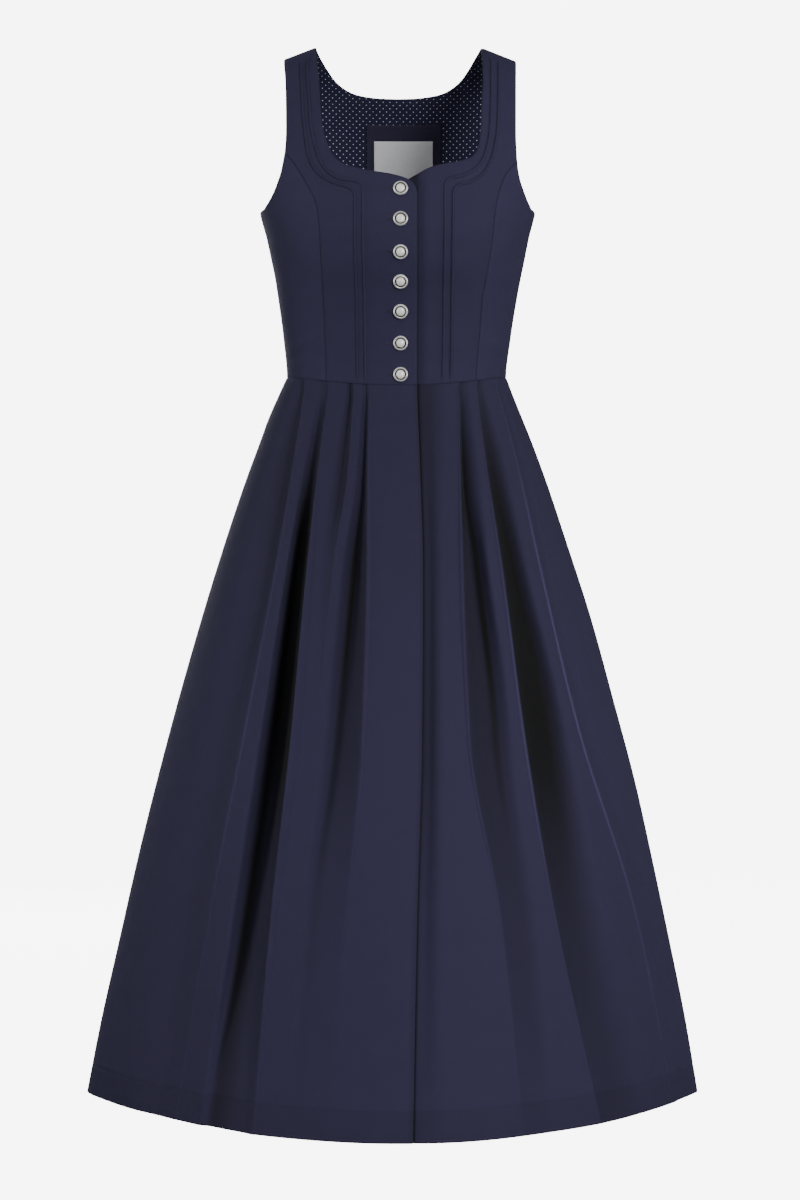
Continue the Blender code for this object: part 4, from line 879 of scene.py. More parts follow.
class Graph:
    """A material's nodes, made in the order in which they are used."""

    def __init__(self, name):
        self.material = bpy.data.materials.new(name)
        self.material.use_nodes = True
        self.tree = self.material.node_tree
        self.shader = self.tree.nodes["Principled BSDF"]

    def node(self, kind, inputs=None, **settings):
        made = self.tree.nodes.new(kind)
        for name, value in settings.items():
            setattr(made, name, value)
        for name, value in (inputs or {}).items():
            self.put(made, name, value)
        return made

    def put(self, node, name, value):
        if isinstance(value, bpy.types.NodeSocket):
            self.tree.links.new(value, node.inputs[name])
        else:
            node.inputs[name].default_value = value

    def math(self, operation, first, second):
        return self.node("ShaderNodeMath", {0: first, 1: second}, operation=operation).outputs[0]

    def vector(self, operation, first, second=(0, 0, 0)):
        made = self.node("ShaderNodeVectorMath", {0: first, 1: second}, operation=operation)
        return made.outputs["Value" if operation == "LENGTH" else "Vector"]

    def noise(self, place, scale, detail=2.0, roughness=0.5):
        inputs = {"Vector": place, "Scale": scale, "Detail": detail, "Roughness": roughness}
        return self.node("ShaderNodeTexNoise", inputs).outputs["Fac"]

    def spread(self, value, low, high):
        """A value from 0 to 1 put between two others."""
        inputs = {"Value": value, "To Min": low, "To Max": high}
        return self.node("ShaderNodeMapRange", inputs).outputs["Result"]

    def mix(self, factor, first, second):
        made = self.node("ShaderNodeMix", data_type="RGBA")
        self.put(made, 0, factor)
        self.put(made, 6, first)
        self.put(made, 7, second)
        return made.outputs[2]

    def scaled(self, colour, factor):
        """A colour made lighter or darker by a factor."""
        made = self.node("ShaderNodeVectorMath", {0: colour[:3]}, operation="SCALE")
        self.put(made, "Scale", factor)
        return made.outputs["Vector"]

    def bump(self, height, distance, under=None):
        inputs = {"Height": height, "Distance": distance, "Strength": 1.0}
        if under is not None:
            inputs["Normal"] = under
        return self.node("ShaderNodeBump", inputs).outputs["Normal"]

    def place(self):
        """Metres across and along the cloth, stored on its points."""
        return self.stored("chart", "Vector")

    def solid_place(self):
        return self.node("ShaderNodeTexCoord").outputs["Object"]

    def stored(self, name, output="Fac"):
        """A number stored on the points."""
        return self.node("ShaderNodeAttribute", attribute_name=name).outputs[output]

    def finish(self, **sockets):
        for name, value in sockets.items():
            self.put(self.shader, name.replace("_", " "), value)
        return self.material


def ribs(graph, place, pitch, degrees):
    """Fine parallel threads, a little uneven."""
    turn = graph.node("ShaderNodeVectorRotate", {"Vector": place, "Angle": math.radians(degrees)})
    turn.rotation_type = "Z_AXIS"
    inputs = {
        "Vector": turn.outputs["Vector"],
        "Scale": 2 * math.pi / (20 * pitch),
        "Distortion": 1.4,
        "Detail": 2.0,
        "Detail Scale": 1.6,
    }
    return graph.node("ShaderNodeTexWave", inputs).outputs["Fac"]


def twill(name, colour):
    """Worsted twill: steep fine ribs, fibres in two shades, and a faint unevenness."""
    graph = Graph(name)
    place = graph.place()
    rib = ribs(graph, place, TWILL_PITCH, TWILL_SLANT)
    fibre = graph.noise(place, 2600, 3.0, 0.65)
    patch = graph.noise(place, 34, 3.0)
    # Painted shade and painted highlight, stored on the points, darken or lighten the colour
    worn = graph.stored("painted_shade_and_light")
    shade = graph.math("MULTIPLY", graph.spread(rib, 0.86, 1.10), graph.spread(fibre, 0.72, 1.28))
    shade = graph.math("MULTIPLY", shade, graph.spread(patch, 0.94, 1.06))
    shade = graph.math("MULTIPLY", shade, graph.math("ADD", 1.0, worn))
    fine = graph.bump(fibre, TWILL_RISE * 0.6)
    woven = graph.bump(rib, TWILL_RISE, fine)
    slow = graph.bump(graph.noise(place, 70, 2.0), 0.00035, woven)
    return graph.finish(
        Base_Color=graph.scaled(colour, shade),
        Roughness=0.84,
        Sheen_Weight=0.06,
        Sheen_Roughness=0.45,
        Sheen_Tint=(0.55, 0.60, 0.85, 1.0),
        Specular_IOR_Level=0.28,
        Normal=slow,
    )


def dotted(name, ground, dot):
    """Printed cotton with small dots in a staggered lattice."""
    graph = Graph(name)
    place = graph.place()
    nearest = None
    for shift in (0.0, 0.5):
        cell = graph.vector("ADD", graph.vector("DIVIDE", place, DOT_PITCH), (shift, shift, 0))
        there = graph.vector("SUBTRACT", graph.vector("FRACTION", cell), (0.5, 0.5, 0))
        away = graph.vector("LENGTH", graph.vector("MULTIPLY", there, (*DOT_PITCH[:2], 0)))
        nearest = away if nearest is None else graph.math("MINIMUM", nearest, away)
    edge = graph.math("SUBTRACT", nearest, graph.spread(graph.noise(place, 1500), -0.0001, 0.0001))
    bounds = {"Value": edge, "From Min": DOT_RADIUS + DOT_BLUR, "From Max": DOT_RADIUS - DOT_BLUR}
    mask = graph.node("ShaderNodeMapRange", bounds).outputs["Result"]
    thread = graph.noise(place, 2200, 2.0, 0.6)
    shade = graph.spread(thread, 0.72, 1.28)
    weave = ribs(graph, place, COTTON_PITCH, 0)
    across = ribs(graph, place, COTTON_PITCH, 90)
    lift = graph.bump(graph.math("MULTIPLY", weave, across), 0.00004)
    colour = graph.mix(mask, graph.scaled(ground, shade), graph.scaled(dot, shade))
    return graph.finish(
        Base_Color=colour, Roughness=0.80, Sheen_Weight=0.12, Specular_IOR_Level=0.3, Normal=lift
    )


def satin(name, colour):
    """A woven satin label: fine threads one way, with a soft gloss along them."""
    graph = Graph(name)
    place = graph.place()
    weft = ribs(graph, place, SATIN_PITCH, 90)
    drift = graph.noise(place, 160, 3.0)
    fibre = graph.noise(graph.vector("MULTIPLY", place, (0.12, 1, 1)), 5200, 2.0, 0.6)
    shade = graph.math("MULTIPLY", graph.spread(weft, 0.94, 1.05), graph.spread(drift, 0.93, 1.07))
    shade = graph.math("MULTIPLY", shade, graph.spread(fibre, 0.88, 1.12))
    lift = graph.bump(weft, 0.00002, graph.bump(drift, 0.0002))
    return graph.finish(
        Base_Color=graph.scaled(colour, shade),
        Roughness=0.36,
        Sheen_Weight=0.2,
        Specular_IOR_Level=0.55,
        Anisotropic=0.5,
        Normal=lift,
    )


def thread(name, colour):
    graph = Graph(name)
    place = graph.solid_place()
    ply = graph.noise(place, 3200, 2.0, 0.6)
    return graph.finish(
        Base_Color=graph.scaled(colour, graph.spread(ply, 0.65, 1.3)),
        Roughness=0.55,
        Sheen_Weight=0.2,
        Specular_IOR_Level=0.45,
        Normal=graph.bump(ply, 0.00005),
    )


def silver(name):
    """Antiqued silver: bright where it is rubbed, dark and rough in the hollows. The dark is partly
    tarnish and partly painted shadow, in the groove round the pearl and low on the foot.
    """
    graph = Graph(name)
    place = graph.solid_place()
    hollow = graph.stored("hollow")
    cloud = graph.noise(place, 900, 3.0, 0.6)
    fine = graph.noise(place, 5200, 2.0, 0.5)
    tarnish_and_shadow = graph.math("ADD", hollow, graph.spread(cloud, -0.28, 0.22))
    tarnish_and_shadow = graph.node("ShaderNodeClamp", {"Value": tarnish_and_shadow}).outputs["Result"]
    colour = graph.mix(tarnish_and_shadow, (0.94, 0.935, 0.92, 1), (0.060, 0.058, 0.056, 1))
    rough = graph.spread(tarnish_and_shadow, 0.28, 0.60)
    return graph.finish(
        Base_Color=colour,
        Metallic=0.5,
        Roughness=rough,
        Normal=graph.bump(fine, 0.00003),
    )


def pearl(name):
    """Ivory pearl: milky under a thin gloss, with painted shade that makes it darker and warmer
    towards the rim.
    """
    graph = Graph(name)
    place = graph.solid_place()
    rim = graph.stored("hollow")
    cloud = graph.noise(place, 420, 3.0, 0.55)
    base = graph.mix(cloud, (0.93, 0.90, 0.83, 1), (0.96, 0.95, 0.90, 1))
    colour = graph.mix(graph.math("MULTIPLY", rim, 0.55), base, (0.50, 0.45, 0.34, 1))
    return graph.finish(
        Base_Color=colour,
        Roughness=graph.spread(cloud, 0.20, 0.30),
        Specular_IOR_Level=1.0,
        Coat_Weight=1.0,
        Coat_Roughness=0.16,
        Sheen_Weight=0.15,
        Normal=graph.bump(cloud, 0.00005),
    )


def plain_ground(name):
    """A pale floor that glows as much as the studio behind it, so that no line parts them."""
    graph = Graph(name)
    place = graph.solid_place()
    cloud = graph.noise(place, 1.3, 2.0)
    return graph.finish(
        Base_Color=graph.scaled(FLOOR_COLOUR, graph.spread(cloud, 0.97, 1.0)),
        Roughness=0.85,
        Specular_IOR_Level=0.1,
        Emission_Color=(1.0, 1.0, 1.0, 1.0),
        Emission_Strength=STUDIO_WHITE,
    )


# Fine meshes


def closed(outline):
    return np.concatenate([outline, outline[:1]])


def nearest_side(points, path):
    """Signed distance to a path: positive on its left."""
    starts, along = path[:-1], np.diff(path, axis=0)
    offset = points[:, None] - starts
    t = np.clip((offset * along).sum(-1) / (along**2).sum(-1), 0, 1)
    away = offset - t[..., None] * along
    distance = np.linalg.norm(away, axis=-1)
    best = distance.argmin(axis=1)
    rows = np.arange(len(points))
    way, gap = along[best], away[rows, best]
    side = np.sign(way[:, 0] * gap[:, 1] - way[:, 1] * gap[:, 0])
    return side * distance[rows, best]


def placed(name, data):
    """A new object in the scene."""
    made = bpy.data.objects.new(name, data)
    bpy.context.scene.collection.objects.link(made)
    return made


def mesh_object(name, points, faces, looks, chart=None, numbers=None, indices=None, sharp=40):
    """A smooth mesh, with numbers stored on its points and a look for each face."""
    mesh = bpy.data.meshes.new(name)
    mesh.from_pydata([tuple(point) for point in points], [], faces)
    for look in looks:
        mesh.materials.append(look)
    if indices is not None:
        mesh.polygons.foreach_set("material_index", indices)
    if chart is not None:
        place = mesh.attributes.new("chart", "FLOAT_VECTOR", "POINT")
        place.data.foreach_set("vector", np.asarray(chart, np.float32).ravel())
    for key, values in (numbers or {}).items():
        made = mesh.attributes.new(key, "FLOAT", "POINT")
        made.data.foreach_set("value", np.asarray(values, np.float32))
    mesh.shade_smooth()
    mesh.set_sharp_from_angle(angle=math.radians(sharp))
    placed(name, mesh)


def worn(name, *nodes, slot="cloth"):
    """A piece rides on the garment and stands for its CAD nodes."""
    made = bpy.data.objects[name]
    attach(made, "root")
    if nodes:
        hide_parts(*nodes)


def rim_of(faces):
    """The directed edges along the border of a flat mesh."""
    ways = {(face[i], face[(i + 1) % len(face)]) for face in faces for i in range(len(face))}
    return [(a, b) for a, b in sorted(ways) if (b, a) not in ways]


def shell(name, outer, inner, faces, looks, chart, painted_shade_and_light):
    """A closed sheet from its two sides. The second look is for the inner side."""
    count = len(outer)
    under = [tuple(i + count for i in face[::-1]) for face in faces]
    edge = [(b, a, a + count, b + count) for a, b in rim_of(faces)]
    tiles = list(faces) + under + edge
    indices = [0] * len(faces) + [1] * len(under) + [0] * len(edge)
    both = {"painted_shade_and_light": np.concatenate([painted_shade_and_light, painted_shade_and_light])}
    place = np.concatenate([chart, chart])
    mesh_object(name, np.concatenate([outer, inner]), tiles, looks, place, both, indices)


def facing_out(faces, points, normals):
    """The faces, turned over if they look into the cloth."""
    a, b, c = points[list(faces[0])]
    if np.dot(np.cross(b - a, c - a), normals[faces[0][0]]) < 0:
        return [face[::-1] for face in faces]
    return faces


def near_edge(from_edge):
    """1 at the edge of a piece, fading to 0 where it stops rolling into the seam."""
    return np.clip(1 - from_edge / ROLL_STEPS[-1], 0, 1)


def crease_relief(chart, creases, to_chart):
    """Soft ridges and hollows along given lines."""
    height = np.zeros(len(chart))
    for ends, half, rise in creases:
        path = to_chart(ends)
        along = path[-1] - path[0]
        share = ((chart - path[0]) @ along) / (along @ along)
        fade = np.sin(math.pi * np.clip(share, 0, 1)) ** CREASE_FADE
        away = distance_to(chart, path)
        height += rise * fade * np.exp(-((away / half) ** 2))
    return height


def flutter(chart, rise, scale, seed):
    """A slow unevenness, the same each time."""
    u, v = chart[:, 0] / scale, chart[:, 1] / scale
    wave = sum(size * np.sin(a * u + b * v + c * seed) for a, b, c, size in FLUTTER_WAVES)
    return rise * wave / FLUTTER_SPREAD


def fine_panel(
    name, node, outline, surface, looks, to_chart, creases, seed, tucks=(), under_flap=False, dark=0.0
):
    """A bodice piece: its outer side carries tucks, creases and edges that roll into the seams."""
    edge = inset(outline, SEAM_GAP / 2)
    lines = [closed(inset(outline, SEAM_GAP / 2 + step)) for step in ROLL_STEPS]
    for tuck in tucks:
        lines += [beside(tuck, share * TUCK_HALF_WIDTH) for share in TUCK_ACROSS]
    if under_flap:
        lines += placket_lines()
    chart, faces = filled(edge, lines, FINE_SPACING)
    from_edge = distance_to(chart, edge, True)
    at_edge = near_edge(from_edge)
    roll = ROLL_DEPTH * at_edge**2
    rise = np.zeros(len(chart))
    # Painted shade: the piece darker all over by dark and along its edges where they roll into the
    # seams, and painted dark and light lines along the tucks
    painted_shade_and_light = -dark - SEAM_DARK * at_edge
    for tuck in tucks:
        ends = [np.linalg.norm(chart - tuck[i], axis=1) for i in (0, -1)]
        fade = np.clip(np.minimum(*ends) / TUCK_TAPER, 0, 1)
        across = nearest_side(chart, tuck) / TUCK_HALF_WIDTH
        lift = np.interp(across, TUCK_ACROSS, TUCK_SHAPE)
        rise += TUCK_RISE * lift * fade
        painted_shade_and_light += np.interp(across, TUCK_ACROSS, TUCK_SHADES) * fade
    rise += crease_relief(chart, creases, to_chart) * smoothstep(0, CREASE_CALM, from_edge)
    rise += flutter(chart, FLUTTER_RISE, FLUTTER_SCALE, seed) * smoothstep(0, CALM_REACH, from_edge)
    rise = np.maximum(rise, -DEEPEST_CREASE)
    under = np.zeros(len(chart))
    if under_flap:
        under = under_placket(chart)
        painted_shade_and_light += placket_shade(chart)
    points, normals = surface(chart)
    faces = facing_out(faces, points, normals)
    outer = points + normals * (rise - roll - under)[:, None]
    lining = surface(inner_chart(chart, faces, edge, outline))
    inner = lining[0] - lining[1] * (under + BODICE_WALL)[:, None]
    place = np.column_stack([chart, np.full(len(chart), seed)])
    shell(name, outer, inner, faces, looks, place, painted_shade_and_light)
    worn(name, node)


def inner_chart(chart, faces, edge, outline):
    """The same chart with its border moved out to the seam line, so that no light comes through."""
    moved = chart.copy()
    for i in sorted({i for way in rim_of(faces) for i in way}):
        moved[i] = outline[np.linalg.norm(edge - chart[i], axis=1).argmin()]
    return moved


def front_outline(sign):
    """A front with its strap, on its chart, as in the CAD model."""
    rows = front_armhole(sign)
    outer = sign * rows[0][0]
    seam = princess(sign)
    hole = smooth_path(armhole(rows, sign, rows[0][1], seam[0][1]))
    hole[0] = (outer, float(shoulder_lift(outer, 0.0)))
    hole[-1] = seam[0]
    edge = PLACKET_EDGE if sign < 0 else UNDERLAP_EDGE
    neck = NECK_RIGHT if sign < 0 else NECK_LEFT
    top = (edge, neck[-1][1] - NECK_TURN)
    neck = smooth_path([*neck, top])
    shoulder = shoulder_path(neck[0][0], outer)
    neck[0] = shoulder[0]
    foot = waist_path(seam[-1][0], edge, -1)
    rise = smooth_path([foot[-1], top])
    return to_flat(joined(shoulder, hole, seam, foot, rise, neck[::-1]))


def under_placket(chart):
    hidden = 1 - smoothstep(PLACKET_EDGE + LAP_FLAT, PLACKET_EDGE + LAP_BLEND, chart[:, 0])
    return (BODICE_WALL + LAP_GAP) * hidden


def placket_lines():
    """Lines down the left front beside the edge that lies on it."""
    top = NECK_LEFT[-1][1] - PLACKET_ENDS[0]
    foot = WAIST_LEVEL - WAIST_DIP_FRONT + PLACKET_ENDS[1]
    places = [PLACKET_EDGE + step for step in PLACKET_FOLDS]
    return [to_flat(smooth_path([(x, top), (x, foot)])) for x in places]


def placket_shade(chart):
    """Painted shadow: the left front is dark right beside that edge, and a little darker for a
    finger's width.
    """
    beyond = chart[:, 0] - PLACKET_EDGE
    line = PLACKET_LINE_DARK * (1 - smoothstep(PLACKET_FOLDS[0], PLACKET_LINE, beyond))
    return -line - PLACKET_DARK * (1 - smoothstep(PLACKET_FOLDS[0], LAP_BLEND, beyond))


def fronts(cloth, lining):
    for sign, side in ((-1, "right"), (1, "left")):
        tucks = [to_flat(smooth_path(rows)) for rows in (TUCKS_RIGHT if sign < 0 else TUCKS_LEFT)]
        fine_panel(
            f"front_{side}_cloth",
            f"bodice_front_{side}",
            front_outline(sign),
            flat_chart(-1),
            (cloth, lining),
            to_flat,
            FRONT_CREASES[side],
            seed=1.0 + sign,
            tucks=tucks,
            under_flap=sign > 0,
            dark=FRONT_DARK,
        )


def side_seam(sign):
    """The side seam on the round chart, from the underarm down."""
    count = int(round((UNDERARM_LEVEL - WAIST_LEVEL) / PATH_SPACING)) + 1
    levels = np.linspace(UNDERARM_LEVEL, WAIST_LEVEL, count)
    angle = np.full(count, sign * math.pi / 2 * ROUND_RADIUS)
    return np.stack([angle, up_of(levels)], -1)


def side_outline(sign, rows, seam, side):
    """A side piece on the round chart: in front of its side seam, or behind it."""
    hole = smooth_path(armhole(rows, sign, seam[0][1], UNDERARM_LEVEL))
    hole, seam = to_round(hole, side), to_round(seam, side)
    edge = side_seam(sign)
    if side > 0 and sign < 0:
        edge = edge + (2 * math.pi * ROUND_RADIUS, 0)
    corner = smooth_path([hole[-3], hole[-2], hole[-1], edge[0]])
    hole = np.concatenate([hole[:-3], corner])
    hole[0] = seam[0]
    count = int(round(abs(edge[-1][0] - seam[-1][0]) / PATH_SPACING)) + 1
    angles = np.linspace(edge[-1][0], seam[-1][0], count)
    levels = np.full(count, WAIST_LEVEL)
    for _ in range(WAIST_ROUNDS):
        xs = torso_by_angle(angles / ROUND_RADIUS, levels)[:, 0]
        levels = waist_height(xs, side)
    foot = np.stack([angles, up_of(levels)], -1)
    foot[0], foot[-1] = edge[-1], seam[-1]
    return joined(hole, edge, foot, seam[::-1])


def sides(cloth, lining):
    for sign, name in ((-1, "right"), (1, "left")):
        for side, rows, seam, place, node in (
            (-1, front_armhole(sign), princess(sign), "side_front", f"bodice_side_front_{name}"),
            (1, ARMHOLE_BACK, back_seam(sign), "side_back", f"bodice_back_side_{name}"),
        ):
            fine_panel(
                f"{place}_{name}_cloth",
                node,
                side_outline(sign, rows, seam, side),
                round_chart(),
                (cloth, lining),
                lambda ends, side=side: to_round(ends, side),
                SIDE_CREASES[place, name],
                seed=3.0 + sign + side / 2,
            )


def back_outline():
    """The back with the backs of both straps, between the two back seams."""
    halves = []
    for sign in (-1, 1):
        outer = sign * ARMHOLE_BACK[0][0]
        seam = back_seam(sign)
        hole = smooth_path(armhole(ARMHOLE_BACK, sign, ARMHOLE_BACK[0][1], seam[0][1]))
        hole[0] = (outer, float(shoulder_lift(outer, 0.0)))
        hole[-1] = seam[0]
        start = (NECK_RIGHT if sign < 0 else NECK_LEFT)[0][0]
        shoulder = shoulder_path(start, outer)
        rows = [(NECK_BACK_MIDDLE + sign * x, z) for x, z in NECK_BACK]
        neck = smooth_path([tuple(shoulder[0]), *rows])
        halves.append((neck[::-1], shoulder, hole, seam))
    right = joined(*halves[0])
    foot = waist_path(halves[0][3][-1][0], halves[1][3][-1][0], 1)
    left = np.concatenate([path[::-1] for path in halves[1][::-1]])
    outline = np.concatenate([right, foot, left])
    kept = [outline[0]]
    for point in outline[1:]:
        if np.linalg.norm(point - kept[-1]) > SAME_PLACE:
            kept.append(point)
    if np.linalg.norm(kept[0] - kept[-1]) < SAME_PLACE:
        kept.pop()
    return to_flat(np.array(kept))


def rectangle(edges):
    """The outline of a patch on the back's chart."""
    low, high, top, bottom = edges
    corners = [(low, top), (low, bottom), (high, bottom), (high, top), (low, top)]
    return to_flat(joined(*(smooth_path(pair) for pair in zip(corners, corners[1:]))))


def inside_layer(name, node, outline, look, slot, depth, thickness, spacing, roll, seed, dark):
    """A flat layer on the inside of the back. Its seen side faces the hollow."""
    edge = inset(outline, SEAM_GAP / 2)
    chart, faces = filled(edge, [closed(inset(outline, step)) for step in ROLL_STEPS], spacing)
    from_edge = distance_to(chart, edge, True)
    points, normals = flat_chart(1)(chart)
    faces = facing_out(faces, points, normals)
    dip = roll * near_edge(from_edge) ** 2
    swell = flutter(chart, LAYER_SWELL, LAYER_SCALE, seed) * smoothstep(0, LAYER_CALM, from_edge)
    top = points - normals * (depth + thickness - dip + swell)[:, None]
    under = points - normals * depth
    place = np.column_stack([chart, np.full(len(chart), seed)])
    # Painted shade: the layer darker all over by dark, and darker where its edge rolls under
    shell(name, under, top, faces, (look, look), place, -dark - LAYER_EDGE_DARK * dip / roll)
    worn(name, node, slot=slot)


def back(cloth, lining, satin_look):
    """The back's middle piece, and inside it the lining, the patch and the bare label."""
    outline, looks, chart = back_outline(), (cloth, lining), flat_chart(1)
    fine_panel("back_cloth", "bodice_back_centre", outline, chart, looks, to_flat, BACK_CREASES, 5.0)
    depth = BODICE_WALL + SEAM_GAP
    for name, node, edges, look, slot, layer in (
        ("back_lining_cloth", "back_lining", outline, lining, "lining", LINING_LAYER),
        ("label_patch_cloth", "label_patch", rectangle(PATCH_EDGES), cloth, "cloth", PATCH_LAYER),
        ("neck_label_satin", "neck_label", rectangle(LABEL_EDGES), satin_look, "label", LABEL_LAYER),
    ):
        inside_layer(name, node, edges, look, slot, depth, *layer)
        depth += layer[0] + SEAM_GAP


# The skirt


def skirt_ring(level):
    """The plain bell at one level: arc lengths from the middle of the front, points and the
    directions out of it."""
    angles = np.linspace(-math.pi, math.pi, RING_STEPS + 1)
    get = lambda name: float(column(SKIRT, SKIRT_COLUMNS, name, level))
    sine, cosine = np.sin(angles), np.cos(angles)
    half = np.where(sine < 0, get("right"), get("left"))
    depth = np.where(cosine > 0, -get("front"), get("back"))
    share = np.clip(1 - np.abs(sine) ** get("power"), 0, 1) ** (1 / get("depth_power"))
    points = np.stack([half * sine, depth * share], -1)
    steps = np.linalg.norm(np.diff(points, axis=0), axis=1)
    arc = np.concatenate([[0], np.cumsum(steps)])
    arc -= arc[RING_STEPS // 2]
    along = np.gradient(points, axis=0)
    along /= np.linalg.norm(along, axis=1, keepdims=True)
    outward = np.stack([along[:, 1], -along[:, 0]], -1)
    return arc, points, outward


def arc_of(ring, x, side):
    """The arc length at which the ring has this x, in front (side -1) or behind (side 1)."""
    arc, points, _ = ring
    quarter = RING_STEPS // 4
    if side < 0:
        at = slice(quarter, 3 * quarter + 1)
    elif x < 0:
        at = slice(0, quarter + 1)
    else:
        at = slice(3 * quarter, RING_STEPS + 1)
    xs, arcs = points[at, 0], arc[at]
    order = np.argsort(xs)
    return float(np.interp(x, xs[order], arcs[order]))


def bump(place, middle, reach):
    return 0.5 + 0.5 * np.cos(math.pi * np.clip(np.abs(place - middle) / reach, 0, 1))


def fold_shape(fold, side, level, ring):
    """Arc lengths, offsets and painted shades of a fold's steps, from its inner end to its outer one.
    """
    name, faces, near, edge, depth, low, reach = fold
    at = lambda values: float(curve(FOLD_LEVELS, values, level))
    deep = at(depth)
    steps = np.array(FOLD_STEPS)
    rise = max(EDGE_RISE * deep, EDGE_RISE_LEAST)
    lowest = at(low)
    shares = (0, HOLLOW_MIDDLE / 2, HOLLOW_MIDDLE, 1)
    beyond = curve(shares, (0, near * lowest, lowest, at(reach)), steps)
    along = np.where(steps < 0, rise * steps, beyond)
    ridge = bump(steps, 0, np.where(steps < 0, 1, RIDGE_REACH))
    hollow = bump(steps, HOLLOW_MIDDLE, 1 - HOLLOW_MIDDLE)
    way = faces if side < 0 else -faces
    start = arc_of(ring, at(edge), side)
    offset = deep * (RIDGE_SHARE * ridge - (1 - RIDGE_SHARE) * hollow)
    # Painted shade over the hollow and along its deepest line, and a painted highlight on the pleat's
    # edge
    everywhere, line, light = FRONT_SHADES[name] if side < 0 else BACK_SHADES
    over = at(everywhere) * smoothstep(*SHADE_BEGINS, steps) * (1 - smoothstep(*SHADE_FADES, steps))
    deepest = at(line) * bump(steps, HOLLOW_MIDDLE, LINE_REACH)
    shade = at(light) * bump(along, 0, LIGHT_REACH) - np.maximum(over, deepest)
    return np.stack([start + way * along, offset, shade], -1)


def between(start, end, count):
    return start + (end - start) * np.arange(1, count + 1) / (count + 1)


def lap_columns(lap, at):
    """Beside the opening the left side sinks into a soft hollow and rises again."""
    sunk = -(SKIRT_WALL + LAP_GAP)
    reach = at(LAP_REACH)
    shares = np.array([0.0, LAP_HOLLOW_AT, LAP_RIDGE_AT, 1.0])
    rises = np.array([sunk, at(LAP_HOLLOW), at(LAP_RIDGE), 0.0])
    arcs = np.concatenate([between(LAP_STEP, reach, LAP_COLUMNS), [reach]])
    offsets = curve(shares * reach, rises, arcs)
    # Painted shade beside the edge that laps over, darkest right at it
    shades = at(LAP_DARK) * np.interp(arcs / reach, LAP_SHADES_AT, LAP_SHADES)
    steps = (-SKIRT_UNDERLAP, -SKIRT_UNDERLAP / 2, LAP_STEP)
    hidden = [(lap + step, sunk, LAP_SHADES[0]) for step in steps]
    return hidden + list(zip(lap + arcs, offsets, shades))


def skirt_columns(piece, level, ring):
    """Arc lengths, offsets and shades across one piece of the skirt, in order of arc length."""
    arc = ring[0]
    right_seam, left_seam = (float(arc[i * RING_STEPS // 4]) for i in (1, 3))
    whole = float(arc[-1] - arc[0])
    at = lambda values: float(curve(FOLD_LEVELS, values, level))
    lap = arc_of(ring, at(LAP_EDGE), -1)
    half = SEAM_CLOSED / 2
    if piece == "front_right":
        starts, stops = [(right_seam + half, 0.0, 0.0)], [(lap, 0.0, 0.0)]
        folds = [(fold, -1) for fold in FRONT_FOLDS if fold[1] < 0]
    elif piece == "front_left":
        starts, stops = lap_columns(lap, at), [(left_seam - half, 0.0, 0.0)]
        folds = [(fold, -1) for fold in FRONT_FOLDS if fold[1] > 0]
    else:
        starts, stops = [(left_seam + half, 0.0, 0.0)], [(whole + right_seam - half, 0.0, 0.0)]
        folds = [(fold, 1) for fold in reversed(BACK_FOLDS)]
    groups = [np.array(starts)]
    for fold, side in folds:
        steps = fold_shape(fold, side, level, ring)
        if side > 0 and steps[0, 0] < 0:
            steps[:, 0] += whole
        groups.append(steps if steps[0, 0] < steps[-1, 0] else steps[::-1])
    groups.append(np.array(stops))
    rows = [groups[0]]
    for before, after in zip(groups, groups[1:]):
        gap = between(before[-1, 0], after[0, 0], GAP_COLUMNS)
        rows.append(np.stack([gap, np.zeros(len(gap)), np.zeros(len(gap))], -1))
        rows.append(after)
    return np.concatenate(rows)


def edge_share(arcs, reach):
    """1 at both ends of a row, fading to 0."""
    from_ends = np.minimum(arcs - arcs[0], arcs[-1] - arcs)
    return np.clip(1 - from_ends / reach, 0, 1)


def drape(arcs, level, seed):
    """Slow waves that lean a little as they come down, stronger towards the hem."""
    down = (WAIST_LEVEL - level) / (WAIST_LEVEL - HEM_LEVEL)
    shape = sum(size * np.sin(arcs / a + b * down + c * seed) for a, b, c, size in DRAPE_WAVES)
    return DRAPE_RISE * shape * smoothstep(*DRAPE_BEGINS, down)


def skirt_shares():
    """Rows from the waist seam down to the hem, as shares of that length."""
    length = WAIST_LEVEL - HEM_LEVEL
    start, stop = PLAIN_ROWS_BETWEEN
    middle = np.linspace(start, length - HEM_DEPTH - stop, SKIRT_ROWS)
    line = [length - HEM_DEPTH + step for step in LINE_ROWS]
    foot = [length - step for step in FOOT_ROWS]
    return np.array([*WAIST_ROWS, *middle, *line, *foot]) / length


